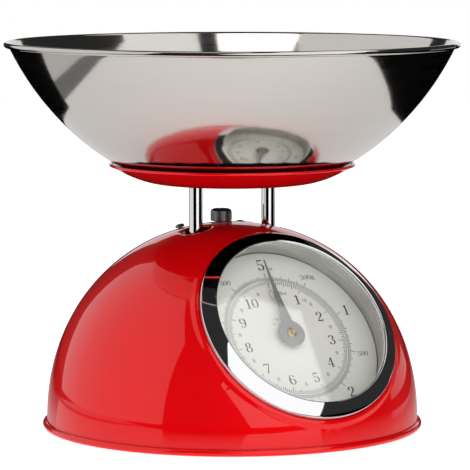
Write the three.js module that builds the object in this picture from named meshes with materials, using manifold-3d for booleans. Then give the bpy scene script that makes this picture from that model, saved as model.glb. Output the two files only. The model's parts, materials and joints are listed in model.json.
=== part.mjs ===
// Spring-balance kitchen scale: a dome-shaped housing with a tilted round dial, two posts that
// carry a dish with a lift-off bowl, and the spring, lever, rack and pinion movement inside.
//
// Millimetres, +Z up. The dial faces -Y. The origin is on the table, under the dome's axis.
// Every piece is one closed solid in its own named mesh.

import * as THREE from 'three';
import { mergeVertices } from 'three/addons/utils/BufferGeometryUtils.js';
import Module from 'manifold-3d';

const wasm = await Module();
wasm.setup();

// ---- Driving dimensions ---------------------------------------------------------------------

const fit = 0.3;                  // clearance between pieces that bear on each other
const sheet = 1.5;                // gauge of the steel frame parts
const sides = 40;                 // flats round the dome, dish and bowl
const dialSides = 32;             // flats round the dial's pieces
const smallSides = 12;            // flats round a pin, screw or bush

// Dome: a shell of revolution whose outline is a quarter of a superellipse
const domeRadius = 110.5;
const domeHeight = 116.5;         // from the springing to the top
const domeSpringing = 5.5;        // height at which the outline starts to curve in
const domePower = 2.076;
const domeWall = 1.0;
const beadRadius = 2.0;           // rolled bead round the foot of the dome
const beadLift = 0.5;             // the bead's underside above the table

// Dial: set square to a normal that rises by dialTilt from the horizontal
const dialTilt = THREE.MathUtils.degToRad(37.7);
const openingRadius = 61.5;       // of the circle where the dial's plane cuts the dome
const bezelOverlap = 0.6;         // of the bezel past that circle
const bezelHeight = 6.2;
const bezelWidth = 8.0;           // from the opening's radius in to the bezel's inner edge
const bezelWall = 0.8;
const bezelEdge = 0.6;            // thickness of its skirt over the pan's rim
const lensThickness = 1.5;
const lensTop = 3.4;              // above the dial's plane
const dialDepth = 13.0;           // from the dial's plane down to the printed face
const seatWidth = 2.1;            // of the opening's edge that is folded in under the pan's rim
const linerWall = 0.6;
const panWall = 0.8;
const pointerGap = 7.4;           // from the pointer's tip to the edge of the dial
const pointerLift = 4.5;          // of the pointer above the printed face
const hubRadius = 8.4;

// Movement: the rack's travel over one turn of the pinion sets the load's travel
const toothModule = 0.4;
const pinionTeeth = 12;
const pinionDepth = 30.0;         // below the dial's plane
const pinionWidth = 4.0;
const rackWidth = 3.0;
const rackThickness = 3.6;        // from the tooth tips to the back
const rackReach = 42.0;           // from the pinion's axis up to the rack's pin
const bracketDepth = 38.0;        // of the movement bracket's back, below the dial's plane
const bracketHalfWidth = 16.0;
const bracketHalfHeight = 8.0;
const spindleRadius = 1.5;

// Load path
const postRadius = 4.0;
const postSpacing = 50.4;
const postHoleRadius = 9.0;
const dishRise = 23.7;            // of the dish's underside above the top of the dome
const dishRadius = 72.4;
const dishWall = 0.8;
const dishRimDrop = 2.9;          // of the dish's rim below the bowl's wall at that radius
const bowlRimRadius = 131.9;      // outside of the wall, under the rolled rim
const bowlHeight = 80.0;          // of the wall
const bowlWall = 1.0;
const bowlBead = 1.7;             // radius of the rolled rim
const bowlCentreRise = 2.017;     // the wall is part of an ellipse: its centre above the base,
const bowlHalfAxis = 2.128;       // and its upright half axis, as multiples of the bowl's height

// Frame, levers and springs
const chassisDrop = 13.5;         // of the frame's top below the top of the dome
const chassisHalfWidth = 24.0;
const flangeHalfWidth = 18.0;     // of the frame's top where it passes between the posts
const leverGauge = 1.5;
const leverHeight = 7.0;
const pinRadius = 1.5;
const springX = 13.0;             // of each spring from the middle
const springY = 12.6;             // of the springs, the zero screw and the knob behind the posts
const springRadius = 3.4;         // of the wire's centre line
const springWire = 0.6;           // wire radius
const springTurns = 9;
const knobRadius = 6.4;
const knobHeight = 7.3;
const zeroScrewRadius = 2.0;
const topScrewX = 21.0;
const topScrewY = 25.0;
const topScrewHead = 2.75;

// Base
const baseLift = 4.0;             // of the base plate's underside above the table
const baseWall = 1.2;
const footRadius = 8.0;
const footX = 60.0;               // of each foot from the middle, both ways
const baseScrewRadius = 1.6;
const stopRadius = 5.0;           // rubber stop under the load carrier

// ---- Derived sizes --------------------------------------------------------------------------

const domeTop = domeSpringing + domeHeight;
const pitchRadius = toothModule * pinionTeeth / 2;
const toothPitch = Math.PI * toothModule;
const rackTravel = 2 * Math.PI * pitchRadius;
const loadTravel = rackTravel * Math.cos(dialTilt);

const dishUnder = domeTop + dishRise;
const bowlBase = dishUnder + dishWall + fit;
const bowlTop = bowlBase + bowlHeight;
const bowlAxis = bowlRimRadius / ellipseWidth(1);
const bowlBaseRadius = bowlAxis * ellipseWidth(0);

const chassisTop = domeTop - chassisDrop;
const chassisBack = Math.sqrt(domeInside(chassisTop) ** 2 - chassisHalfWidth ** 2) - 6.2;
const baseTop = baseLift + baseWall;
const chassisFoot = baseTop + fit;

const crossheadTop = chassisTop - 20.7;
const crossheadWall = 3.0;
const crossheadUnder = crossheadTop - crossheadWall;
const leverArmX = springX + springRadius + springWire + 1.2;    // inside of each lever arm
const leverPivotY = chassisBack - 6;
const carrierPinY = -1.5;
const carrierPlateY = 3.0;                                      // front of its upright plate
const leverReach = leverPivotY - carrierPinY;                   // level distance, pivot to pin
const leverSwing = Math.atan(loadTravel / 2 / leverReach);      // each side of level
const upperPinZ = crossheadUnder - 8.3;
const lowerPinZ = baseTop + loadTravel + 24.8;
const shelfTop = (upperPinZ + lowerPinZ) / 2 - 5.5;
const carrierFoot = lowerPinZ - 6;
const hangerUnder = chassisTop - 11;
const hangerWall = 2.5;

const bezelInnerRadius = openingRadius - bezelWidth;
const panOuter = openingRadius - seatWidth;
const linerOuter = panOuter - panWall - fit;
const dialRadius = linerOuter - linerWall - fit;
const backingTop = -dialDepth - 0.8 - fit;                      // of the pan's floor
const rackFace = pitchRadius - 0.28;                            // X of the rack's tooth tips

// ---- Outlines -------------------------------------------------------------------------------

// Radius of the dome's outside at a height
function domeOutside(z) {
  const rise = THREE.MathUtils.clamp((z - domeSpringing) / domeHeight, 0, 1);
  return domeRadius * (1 - rise ** domePower) ** (1 / domePower);
}

function domeInside(z) {
  const rise = THREE.MathUtils.clamp((z - domeSpringing) / (domeHeight - domeWall), 0, 1);
  return (domeRadius - domeWall) * (1 - rise ** domePower) ** (1 / domePower);
}

// Height of the dome's outside at a radius, and the angle of its normal from upright
function domeSurface(radius) {
  const share = radius / domeRadius;
  const rise = (1 - share ** domePower) ** (1 / domePower);
  const slope = (domeHeight / domeRadius) * (share / rise) ** (domePower - 1);
  return { z: domeSpringing + domeHeight * rise, lean: Math.atan(slope) };
}

// Half-width of the bowl's ellipse, as a share of its half axis, at a share of the bowl's height
function ellipseWidth(share) {
  return Math.sqrt(1 - ((bowlCentreRise - share) / bowlHalfAxis) ** 2);
}

function bowlWallHeight(radius) {
  const drop = Math.sqrt(1 - (radius / bowlAxis) ** 2) * bowlHalfAxis;
  return bowlBase + (bowlCentreRise - drop) * bowlHeight;
}

// Centre of the dial's plane: the middle of the dome outline's chord that runs at the dial's
// tilt and is as long as the opening is wide
function findDialCentre() {
  const up = [Math.sin(dialTilt), Math.cos(dialTilt)];
  const out = [-Math.cos(dialTilt), Math.sin(dialTilt)];
  const inside = (d, t) => {
    const y = d * out[0] + t * up[0];
    const z = d * out[1] + t * up[1];
    return z < domeTop && Math.abs(y) < domeOutside(z);
  };
  const reach = (d, way) => {
    let [near, far] = [0, 2 * domeRadius];
    for (let i = 0; i < 40; i += 1) {
      const mid = (near + far) / 2;
      if (inside(d, way * mid)) near = mid; else far = mid;
    }
    return way * near;
  };
  let [low, high] = [0.5 * domeRadius, 1.2 * domeRadius];
  for (let i = 0; i < 40; i += 1) {
    const mid = (low + high) / 2;
    if (reach(mid, 1) - reach(mid, -1) > 2 * openingRadius) low = mid; else high = mid;
  }
  const middle = (reach(low, 1) + reach(low, -1)) / 2;
  return new THREE.Vector3(0, low * out[0] + middle * up[0], low * out[1] + middle * up[1]);
}

// ---- Geometry helpers -----------------------------------------------------------------------

// A three.js geometry as a manifold solid: only positions, shared vertices, no collapsed faces
function toSolid(geometry) {
  const bare = geometry.clone();
  for (const name of Object.keys(bare.attributes)) {
    if (name !== 'position') bare.deleteAttribute(name);
  }
  const merged = mergeVertices(bare, 1e-4);
  const index = merged.index.array;
  const faces = [];
  for (let i = 0; i < index.length; i += 3) {
    const [a, b, c] = [index[i], index[i + 1], index[i + 2]];
    if (a !== b && b !== c && c !== a) faces.push(a, b, c);
  }
  const vertProperties = new Float32Array(merged.attributes.position.array);
  const triVerts = new Uint32Array(faces);
  return new wasm.Manifold(new wasm.Mesh({ numProp: 3, vertProperties, triVerts }));
}

function toGeometry(solid) {
  const { vertProperties, triVerts } = solid.getMesh();
  const geometry = new THREE.BufferGeometry();
  geometry.setAttribute('position', new THREE.BufferAttribute(vertProperties, 3));
  geometry.setIndex(new THREE.BufferAttribute(triVerts, 1));
  return geometry;
}

function join(first, ...others) {
  return toGeometry(others.reduce((sum, other) => sum.add(toSolid(other)), toSolid(first)));
}

function cut(body, ...tools) {
  return toGeometry(tools.reduce((rest, tool) => rest.subtract(toSolid(tool)), toSolid(body)));
}

function common(first, second) {
  return toGeometry(toSolid(first).intersect(toSolid(second)));
}

// A solid of revolution about Z from [radius, height] points, closed on itself or on the axis
function turned(points, flats = sides) {
  const profile = points.map(([r, z]) => new THREE.Vector2(r, z));
  if (THREE.ShapeUtils.isClockWise(profile)) profile.reverse();
  if (profile[0].x > 0 || profile.at(-1).x > 0) profile.push(profile[0].clone());
  return new THREE.LatheGeometry(profile, flats).rotateX(Math.PI / 2);
}

function rod(radius, low, high, flats = smallSides) {
  return turned([[0, low], [radius, low], [radius, high], [0, high]], flats);
}

function tube(outer, inner, low, high, flats = smallSides) {
  return turned([[inner, low], [outer, low], [outer, high], [inner, high]], flats);
}

// A rod along X
function crossRod(radius, low, high, y, z) {
  return rod(radius, low, high).rotateY(Math.PI / 2).translate(0, y, z);
}

// A box between two corners
function block([x0, x1], [y0, y1], [z0, z1]) {
  return new THREE.BoxGeometry(x1 - x0, y1 - y0, z1 - z0)
    .translate((x0 + x1) / 2, (y0 + y1) / 2, (z0 + z1) / 2);
}

function extruded(points, depth) {
  const shape = new THREE.Shape(points.map(([x, y]) => new THREE.Vector2(x, y)));
  return new THREE.ExtrudeGeometry(shape, { depth, bevelEnabled: false });
}

// A pan-head screw with its head's underside at height 0 and its shank below
function panScrew(headRadius, headHeight, shankRadius, length) {
  const dome = [[headRadius, 0], [headRadius, headHeight * 0.5], [headRadius * 0.75, headHeight]];
  return turned([[0, -length], [shankRadius, -length], [shankRadius, 0], ...dome, [0, headHeight]],
    smallSides);
}

// Points of an arc, from one angle to the other in degrees
function arc(centreR, centreZ, radius, from, to, steps) {
  return Array.from({ length: steps + 1 }, (_, i) => {
    const angle = THREE.MathUtils.degToRad(from + (to - from) * i / steps);
    return [centreR + radius * Math.cos(angle), centreZ + radius * Math.sin(angle)];
  });
}

// ---- Scene ----------------------------------------------------------------------------------

const finishes = {
  paint: { color: 0xc4161c, roughness: 0.3, metalness: 0.4 },
  polished: { color: 0xc9c6c2, roughness: 0.08, metalness: 1 },
  chrome: { color: 0xd8d8d8, roughness: 0.06, metalness: 1 },
  steel: { color: 0x9a9a98, roughness: 0.45, metalness: 1 },
  blackened: { color: 0x3c3b39, roughness: 0.4, metalness: 1 },
  dial: { color: 0xf0eeea, roughness: 0.6, metalness: 0 },
  aluminium: { color: 0xc5c4c0, roughness: 0.35, metalness: 1 },
  pointer: { color: 0x8f8d8b, roughness: 0.5, metalness: 0.3 },
  brass: { color: 0xc9a25a, roughness: 0.3, metalness: 1 },
  glass: { color: 0xf4f6f6, roughness: 0.05, metalness: 0, transparent: true, opacity: 0.35 },
  rubber: { color: 0x262524, roughness: 0.8, metalness: 0 },
};

const scale = new THREE.Group();
const dialCentre = findDialCentre();

// The dial's own frame: origin at the middle of the dial's plane, +Z out of the dial, +Y up it
const dial = new THREE.Group();
dial.position.copy(dialCentre);
dial.rotation.x = Math.PI / 2 - dialTilt;
dial.updateMatrix();
scale.add(dial);

function addPiece(parent, name, finish, geometry) {
  const mesh = new THREE.Mesh(toGeometry(toSolid(geometry)),
    new THREE.MeshStandardMaterial(finishes[finish]));
  mesh.name = name;
  parent.add(mesh);
}

// A frame on the dome's outside, with +Z along its normal
function frameOnDome(x, y) {
  const radius = Math.hypot(x, y);
  const { z, lean } = domeSurface(radius);
  const frame = new THREE.Group();
  frame.position.set(x, y, z);
  const axis = new THREE.Vector3(-y / radius, x / radius, 0);
  frame.quaternion.setFromAxisAngle(axis, lean);
  frame.updateMatrix();
  return frame;
}

// ---- Housing --------------------------------------------------------------------------------

function domeOutline(radius, height, steps) {
  return Array.from({ length: steps + 1 }, (_, i) => {
    const angle = (i / steps) * Math.PI / 2;
    return [radius * Math.cos(angle) ** (2 / domePower),
      domeSpringing + height * Math.sin(angle) ** (2 / domePower)];
  });
}

function makeDome() {
  const steps = 8;
  const outer = domeOutline(domeRadius, domeHeight, steps);
  const inner = domeOutline(domeRadius - domeWall, domeHeight - domeWall, steps).reverse();
  const footZ = beadLift + beadRadius;
  const shell = turned([[domeRadius, footZ], ...outer, ...inner, [domeRadius - domeWall, footZ]]);
  const beadCentre = domeRadius + 0.5;
  const bead = turned(arc(beadCentre, footZ, beadRadius, 0, 300, 5));
  const filled = turned([[0, domeSpringing],
    ...domeOutline(domeRadius - domeWall / 2, domeHeight - domeWall / 2, steps)]);
  // The edge of the opening is folded in to a flat seat for the dial's pan
  const seatTop = -panWall - fit;
  const seat = tube(openingRadius + 3, panOuter + fit, seatTop - domeWall, seatTop, dialSides)
    .applyMatrix4(dial.matrix);
  const window = rod(openingRadius + 10, seatTop, domeRadius, dialSides).applyMatrix4(dial.matrix);
  const bore = rod(panOuter + fit, -4 * domeWall, 1, dialSides).applyMatrix4(dial.matrix);
  const postHoles = [-1, 1].map((side) => rod(postHoleRadius, domeTop - 30, domeTop + 5, 16)
    .translate(side * postSpacing / 2, 0, 0));
  const knobHole = rod(3.4, domeTop - 10, domeTop + 5).translate(0, springY, 0);
  const screwHoles = [-1, 1].map((side) => rod(2.1, -5, 5)
    .applyMatrix4(frameOnDome(side * topScrewX, topScrewY).matrix));
  const flanged = join(cut(join(shell, bead), window, bore), common(seat, filled));
  addPiece(scale, 'dome', 'paint', cut(flanged, ...postHoles, knobHole, ...screwHoles));
}

function makeBase() {
  const baseRadius = domeRadius - domeWall - fit - 0.5;
  const footHoles = footPlaces().map(([x, y]) => rod(3.2, 0, 10).translate(x, y, 0));
  const screwHoles = baseScrewPlaces()
    .map(([x, y]) => rod(baseScrewRadius + fit, 0, 10).translate(x, y, 0));
  // Room for the dial's pan, should it reach down this far
  const panRoom = rod(panOuter + 1, backingTop - 4, domeRadius, dialSides).applyMatrix4(dial.matrix);
  const plate = rod(baseRadius, baseLift, baseTop, sides);
  addPiece(scale, 'base_plate', 'steel', cut(plate, ...footHoles, ...screwHoles, panRoom));
  footPlaces().forEach(([x, y], i) => {
    const neck = 3.2 - fit;
    const foot = turned([[0, 0], [footRadius - 1, 0], [footRadius, 1], [footRadius, baseLift - fit],
      [neck, baseLift - fit], [neck, baseTop + fit], [neck + 1.4, baseTop + fit],
      [neck - 0.6, baseTop + 3], [0, baseTop + 3]], smallSides);
    addPiece(scale, `foot_${i + 1}`, 'rubber', foot.translate(x, y, 0));
  });
  baseScrewPlaces().forEach(([x, y], i) => {
    const screw = panScrew(3, 1.9, baseScrewRadius, sheet + baseWall + 4).rotateX(Math.PI);
    addPiece(scale, `base_screw_${i + 1}`, 'steel', screw.translate(x, y, baseLift - fit));
  });
  const stop = rod(stopRadius, baseTop + fit, carrierFoot - loadTravel - 0.5);
  addPiece(scale, 'overload_stop', 'rubber', stop.translate(0, carrierPlateY + sheet / 2, 0));
}

function footPlaces() {
  return [[-1, -1], [1, -1], [1, 1], [-1, 1]].map(([sx, sy]) => [sx * footX, sy * footX]);
}

function baseScrewPlaces() {
  const rearY = chassisBack - 7;
  return [[-1, 0.45], [1, 0.45], [1, 1], [-1, 1]]
    .map(([side, share]) => [side * (chassisHalfWidth - 6), share * rearY]);
}

// ---- Dial -----------------------------------------------------------------------------------

function makeBezel() {
  const outer = openingRadius + bezelOverlap;
  const skirt = -panWall;
  const crown = new THREE.QuadraticBezierCurve(new THREE.Vector2(outer, 0.6),
    new THREE.Vector2(outer - 3, bezelHeight * 0.85),
    new THREE.Vector2(bezelInnerRadius + 0.7, bezelHeight));
  const outside = crown.getPoints(3).map(({ x, y }) => [x, y]);
  const inside = outside.map(([r, z]) => [r - 0.35, z - bezelWall]).reverse();
  inside[inside.length - 1][0] = outer - bezelEdge;
  const lip = [[bezelInnerRadius, bezelHeight - 0.6], [bezelInnerRadius, lensTop + fit],
    [bezelInnerRadius + 0.6, lensTop + fit]];
  inside[0][0] = bezelInnerRadius + 0.6;
  addPiece(dial, 'bezel', 'chrome',
    turned([[outer, skirt], ...outside, ...lip, ...inside, [outer - bezelEdge, skirt]], dialSides));
}

function makeDialPan() {
  const floor = backingTop - 1.2;
  const rim = openingRadius + bezelOverlap - bezelEdge - 2 * fit;
  const wallInner = panOuter - panWall;
  const bushHole = 2.6;
  const pan = turned([[bushHole, floor], [panOuter, floor], [panOuter, -panWall], [rim, -panWall],
    [rim, 0], [wallInner, 0], [wallInner, backingTop], [bushHole, backingTop]], dialSides);
  const screwHoles = bracketScrewPlaces()
    .map((x) => rod(1.2, floor - 1, backingTop + 1).translate(x, 0, 0));
  addPiece(dial, 'dial_pan', 'steel', cut(pan, ...screwHoles));
}

function makeDialFace() {
  const spindleHole = 3.0;
  addPiece(dial, 'dial_plate', 'dial',
    tube(dialRadius, spindleHole, -dialDepth - 0.8, -dialDepth, dialSides));
  addPiece(dial, 'dial_liner', 'aluminium', tube(linerOuter, linerOuter - linerWall,
    backingTop + fit, lensTop - lensThickness - fit, dialSides));
  addPiece(dial, 'lens', 'glass', rod(dialRadius, lensTop - lensThickness, lensTop, dialSides));
}

function makePointer() {
  const low = -dialDepth + pointerLift;
  const reach = dialRadius - pointerGap;
  const hub = rod(hubRadius, low, low + 0.8, 32);
  const blade = extruded([[-3.2, 5], [3.2, 5], [1.1, 32], [0.35, reach],
    [-0.35, reach], [-1.1, 32]], 0.8).translate(0, 0, low);
  const bore = rod(spindleRadius + fit, low - 1, low + 2);
  addPiece(dial, 'pointer', 'pointer', cut(join(hub, blade), bore));
}

// ---- Movement -------------------------------------------------------------------------------

function bracketScrewPlaces() {
  return [-1, 1].map((side) => side * (bracketHalfWidth + 4.5));
}

// Outline of the pinion, with a tooth space on +X
function pinionOutline() {
  const root = pitchRadius - 0.48;
  const tip = pitchRadius + 0.34;
  const halfAngles = [[root, 8.2], [pitchRadius - 0.12, 6.2], [pitchRadius + 0.14, 4.4], [tip, 2.2]];
  const points = [];
  for (let tooth = 0; tooth < pinionTeeth; tooth += 1) {
    const middle = (tooth + 0.5) * 360 / pinionTeeth;
    const rising = halfAngles.map(([r, half]) => [r, middle - half]);
    const falling = halfAngles.map(([r, half]) => [r, middle + half]).reverse();
    for (const [r, degrees] of [...rising, ...falling]) {
      const angle = THREE.MathUtils.degToRad(degrees);
      points.push([r * Math.cos(angle), r * Math.sin(angle)]);
    }
  }
  return points;
}

function makeSpindle() {
  const front = -dialDepth + 7.5;
  const back = -bracketDepth - 1.5;
  const wheel = extruded(pinionOutline(), pinionWidth)
    .translate(0, 0, -pinionDepth - pinionWidth / 2);
  const arbor = turned([[0, back], [spindleRadius, back], [spindleRadius, front - 0.5],
    [spindleRadius - 0.5, front], [0, front]], smallSides);
  addPiece(dial, 'pinion_spindle', 'brass', join(arbor, wheel));
}

function makeBushes() {
  const bore = spindleRadius + 0.08;
  const floor = backingTop - 1.2;
  addPiece(dial, 'front_bush', 'brass', turned([[bore, floor - 3], [3.6, floor - 3],
    [3.6, floor - fit], [2.3, floor - fit], [2.3, backingTop], [bore, backingTop]], smallSides));
  const web = -bracketDepth + 1.2;
  addPiece(dial, 'rear_bush', 'brass', turned([[bore, -bracketDepth], [2.3, -bracketDepth],
    [2.3, web + fit], [3.6, web + fit], [3.6, web + 2.5], [bore, web + 2.5]], smallSides));
}

function makeBracket() {
  const foot = backingTop - 1.2 - fit;
  const wall = 1.2;
  const [inner, back] = [bracketHalfWidth, -bracketDepth];
  const upper = [[inner + 9, foot], [inner, foot], [inner, back + wall]];
  const under = [[inner + wall, back], [inner + wall, foot - wall], [inner + 9, foot - wall]];
  const mirrored = (points) => points.map(([x, z]) => [-x, z]).reverse();
  const outline = [...upper, ...mirrored(upper), ...mirrored(under), ...under];
  const hat = extruded(outline, 2 * bracketHalfHeight)
    .rotateX(Math.PI / 2).translate(0, bracketHalfHeight, 0);
  const bushHole = rod(2.6, back - 1, back + wall + 1);
  const guideHole = rod(1.3, back - 1, back + wall + 1).translate(guideX(), 0, 0);
  const screwHoles = bracketScrewPlaces()
    .map((x) => rod(1.5, foot - wall - 1, foot + 1).translate(x, 0, 0));
  addPiece(dial, 'movement_bracket', 'steel', cut(hat, bushHole, guideHole, ...screwHoles));
  bracketScrewPlaces().forEach((x, i) => {
    const screw = panScrew(2.2, 1.4, 0.9, wall + 1.2 + fit).rotateX(Math.PI);
    addPiece(dial, `movement_screw_${i + 1}`, 'steel', screw.translate(x, 0, foot - wall - fit));
  });
}

// X of the roller that backs the rack
function guideX() {
  return rackFace + rackThickness + fit + 2;
}

function makeRackGuide() {
  const low = -pinionDepth - 2;
  addPiece(dial, 'rack_guide_pin', 'steel',
    rod(1, -bracketDepth, low + 5.5).translate(guideX(), 0, 0));
  addPiece(dial, 'rack_guide_roller', 'brass',
    tube(2, 1 + fit, low, low + 4).translate(guideX(), 0, 0));
}

function makeRack() {
  const toothTop = 0.12;
  const toothFoot = 0.36;
  const rootX = rackFace + 0.68;
  const backX = rackFace + rackThickness;
  const low = -3.5 * toothPitch;
  const high = rackReach + 4;
  const points = [[backX, low], [backX, high], [rootX, high]];
  for (let tooth = 15; tooth >= -3; tooth -= 1) {
    const middle = tooth * toothPitch;
    points.push([rootX, middle + toothFoot], [rackFace, middle + toothTop],
      [rackFace, middle - toothTop], [rootX, middle - toothFoot]);
  }
  points.push([rootX, low]);
  const bar = extruded(points, rackWidth).translate(0, 0, -pinionDepth - rackWidth / 2);
  const pinHole = crossRod(1.2 + fit, 0, 20, rackReach, -pinionDepth);
  const cheek = block([rackFace + 0.68, backX], [rackReach - 4, rackReach + 4],
    [-pinionDepth - 3, -pinionDepth + 3]);
  addPiece(dial, 'rack', 'brass', cut(join(bar, cheek), pinHole));
  const pin = join(crossRod(1.2, rootX, backX + 6, rackReach, -pinionDepth),
    crossRod(2.2, backX + 4.8, backX + 6, rackReach, -pinionDepth));
  addPiece(dial, 'rack_pin', 'steel', pin);
}

// ---- Load carrier, posts, dish and bowl -----------------------------------------------------

function rackPinPlace() {
  return new THREE.Vector3(0, rackReach, -pinionDepth).applyMatrix4(dial.matrix);
}

function makeCarrier() {
  const crosshead = block([-postSpacing / 2 - 8, postSpacing / 2 + 8], [-6, 6],
    [crossheadUnder, crossheadTop]);
  const plate = block([-15, 15], [carrierPlateY, carrierPlateY + sheet], [carrierFoot, crossheadUnder + 1]);
  const shelfHalf = springX + 4;
  const shelf = block([-shelfHalf, shelfHalf], [carrierPlateY, springY + 5], [shelfTop - sheet, shelfTop]);
  const ears = [upperPinZ, lowerPinZ].flatMap((z) => [-1, 1].map((side) => block(
    [Math.min(side * 13.5, side * 15), Math.max(side * 13.5, side * 15)],
    [carrierPinY - 4, carrierPlateY + sheet], [z - 5, z + 5])));
  // The arm's level slot takes the rack's pin, which slides along it as the load goes down
  const pin = rackPinPlace();
  const armX = rackFace + rackThickness + 1.5;
  const slide = loadTravel * Math.tan(dialTilt);
  const armBack = carrierPlateY + sheet;
  const arm = block([armX, armX + sheet], [pin.y - slide - 5, armBack], [pin.z - 5, pin.z + 5]);
  const riser = block([armX, armX + sheet], [carrierPinY - 6, armBack],
    [Math.min(pin.z - 5, crossheadUnder), Math.max(pin.z + 5, crossheadTop)]);
  const half = 1.2 + fit;
  const slot = block([armX - 1, armX + sheet + 1], [pin.y - slide - half, pin.y + half],
    [pin.z - half, pin.z + half]);
  const postHoles = [-1, 1].map((side) => rod(2.3, crossheadUnder - 1, crossheadTop + 1)
    .translate(side * postSpacing / 2, 0, 0));
  const pinHoles = [upperPinZ, lowerPinZ]
    .map((z) => crossRod(pinRadius + fit, -16, 16, carrierPinY, z));
  const hookHoles = [-1, 1].map((side) => rod(springWire + 0.6, shelfTop - 3, shelfTop + 1)
    .translate(side * springX, springY, 0));
  addPiece(scale, 'load_carrier', 'steel', cut(join(crosshead, plate, shelf, ...ears, arm, riser),
    slot, ...postHoles, ...pinHoles, ...hookHoles));
  [['upper', upperPinZ], ['lower', lowerPinZ]].forEach(([name, z]) => {
    const end = leverArmX + leverGauge + 1.2;
    addPiece(scale, `${name}_carrier_pin`, 'steel', crossRod(pinRadius, -end, end, carrierPinY, z));
  });
}

function makePosts() {
  const top = dishUnder - fit;
  const sinkDepth = 2.2;
  for (const [name, side] of [['left', -1], ['right', 1]]) {
    const x = side * postSpacing / 2;
    const shaft = rod(postRadius, crossheadTop + fit, top, 24);
    const topBore = turned([[0, top - 14], [2.2, top - 14], [2.2, top - sinkDepth], [4.2, top + 0.3],
      [0, top + 0.3]], smallSides);
    const footBore = rod(2.2, crossheadTop, crossheadTop + 12);
    addPiece(scale, `${name}_post`, 'chrome',
      cut(shaft, topBore, footBore).translate(x, 0, 0));
    const head = turned([[0, top - 12], [1.9, top - 12], [1.9, top - sinkDepth],
      [3.6, dishUnder + dishWall - 0.1], [0, dishUnder + dishWall - 0.1]], smallSides);
    addPiece(scale, `${name}_dish_screw`, 'steel', head.translate(x, 0, 0));
    const bolt = panScrew(3.6, 2.4, 1.9, crossheadWall + 10).rotateX(Math.PI);
    addPiece(scale, `${name}_post_screw`, 'steel', bolt.translate(x, 0, crossheadUnder - fit));
  }
}

// The dish's underside, from its flat floor up to its rim
function dishOutline() {
  const floorRadius = bowlBaseRadius - 5;
  const rimZ = bowlWallHeight(dishRadius) - dishRimDrop;
  const control = floorRadius + (dishRadius - floorRadius) * 0.4;
  const curve = new THREE.QuadraticBezierCurve(new THREE.Vector2(floorRadius, dishUnder),
    new THREE.Vector2(control, dishUnder), new THREE.Vector2(dishRadius, rimZ));
  return curve.getPoints(4).map(({ x, y }) => [x, y]);
}

function makeDish() {
  const under = dishOutline();
  const [rimR, rimZ] = under.at(-1);
  const above = under.slice(0, -1).map(([r, z]) => [r - 0.2, z + dishWall]).reverse();
  const rim = arc(rimR - 0.4, rimZ + 0.3, 0.9, -50, 190, 3);
  const bowl = turned([[0, dishUnder], ...under.slice(0, -1), ...rim, ...above,
    [0, dishUnder + dishWall]]);
  const holes = [-1, 1].map((side) => turned([[0, dishUnder - 1], [3.1, dishUnder - 1],
    [4.2, dishUnder + dishWall + 0.1], [0, dishUnder + dishWall + 0.1]], smallSides)
    .translate(side * postSpacing / 2, 0, 0));
  addPiece(scale, 'dish', 'paint', cut(bowl, ...holes));
}

function makeBowl() {
  const steps = 8;
  const cornerShare = 0.035;       // share of the height taken by the rounded foot of the wall
  const outside = Array.from({ length: steps + 1 }, (_, i) => {
    const share = cornerShare + (1 - cornerShare) * i / steps;
    return [bowlAxis * ellipseWidth(share), bowlBase + share * bowlHeight];
  });
  const footRing = [bowlBaseRadius - 3, bowlBase];
  const inside = outside.slice(0, -1).map(([r, z]) => [r - bowlWall * 0.8, z + bowlWall * 0.6]);
  const rim = arc(bowlRimRadius + bowlBead - bowlWall / 2, bowlTop + 0.9, bowlBead, -150, 150, 5);
  addPiece(scale, 'bowl', 'polished', turned([[0, bowlBase], footRing, ...outside.slice(0, -1),
    ...rim, ...inside.reverse(), [bowlBaseRadius - 3.4, bowlBase + bowlWall],
    [0, bowlBase + bowlWall]]));
}

// ---- Frame, levers, springs and zero setting ------------------------------------------------

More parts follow.
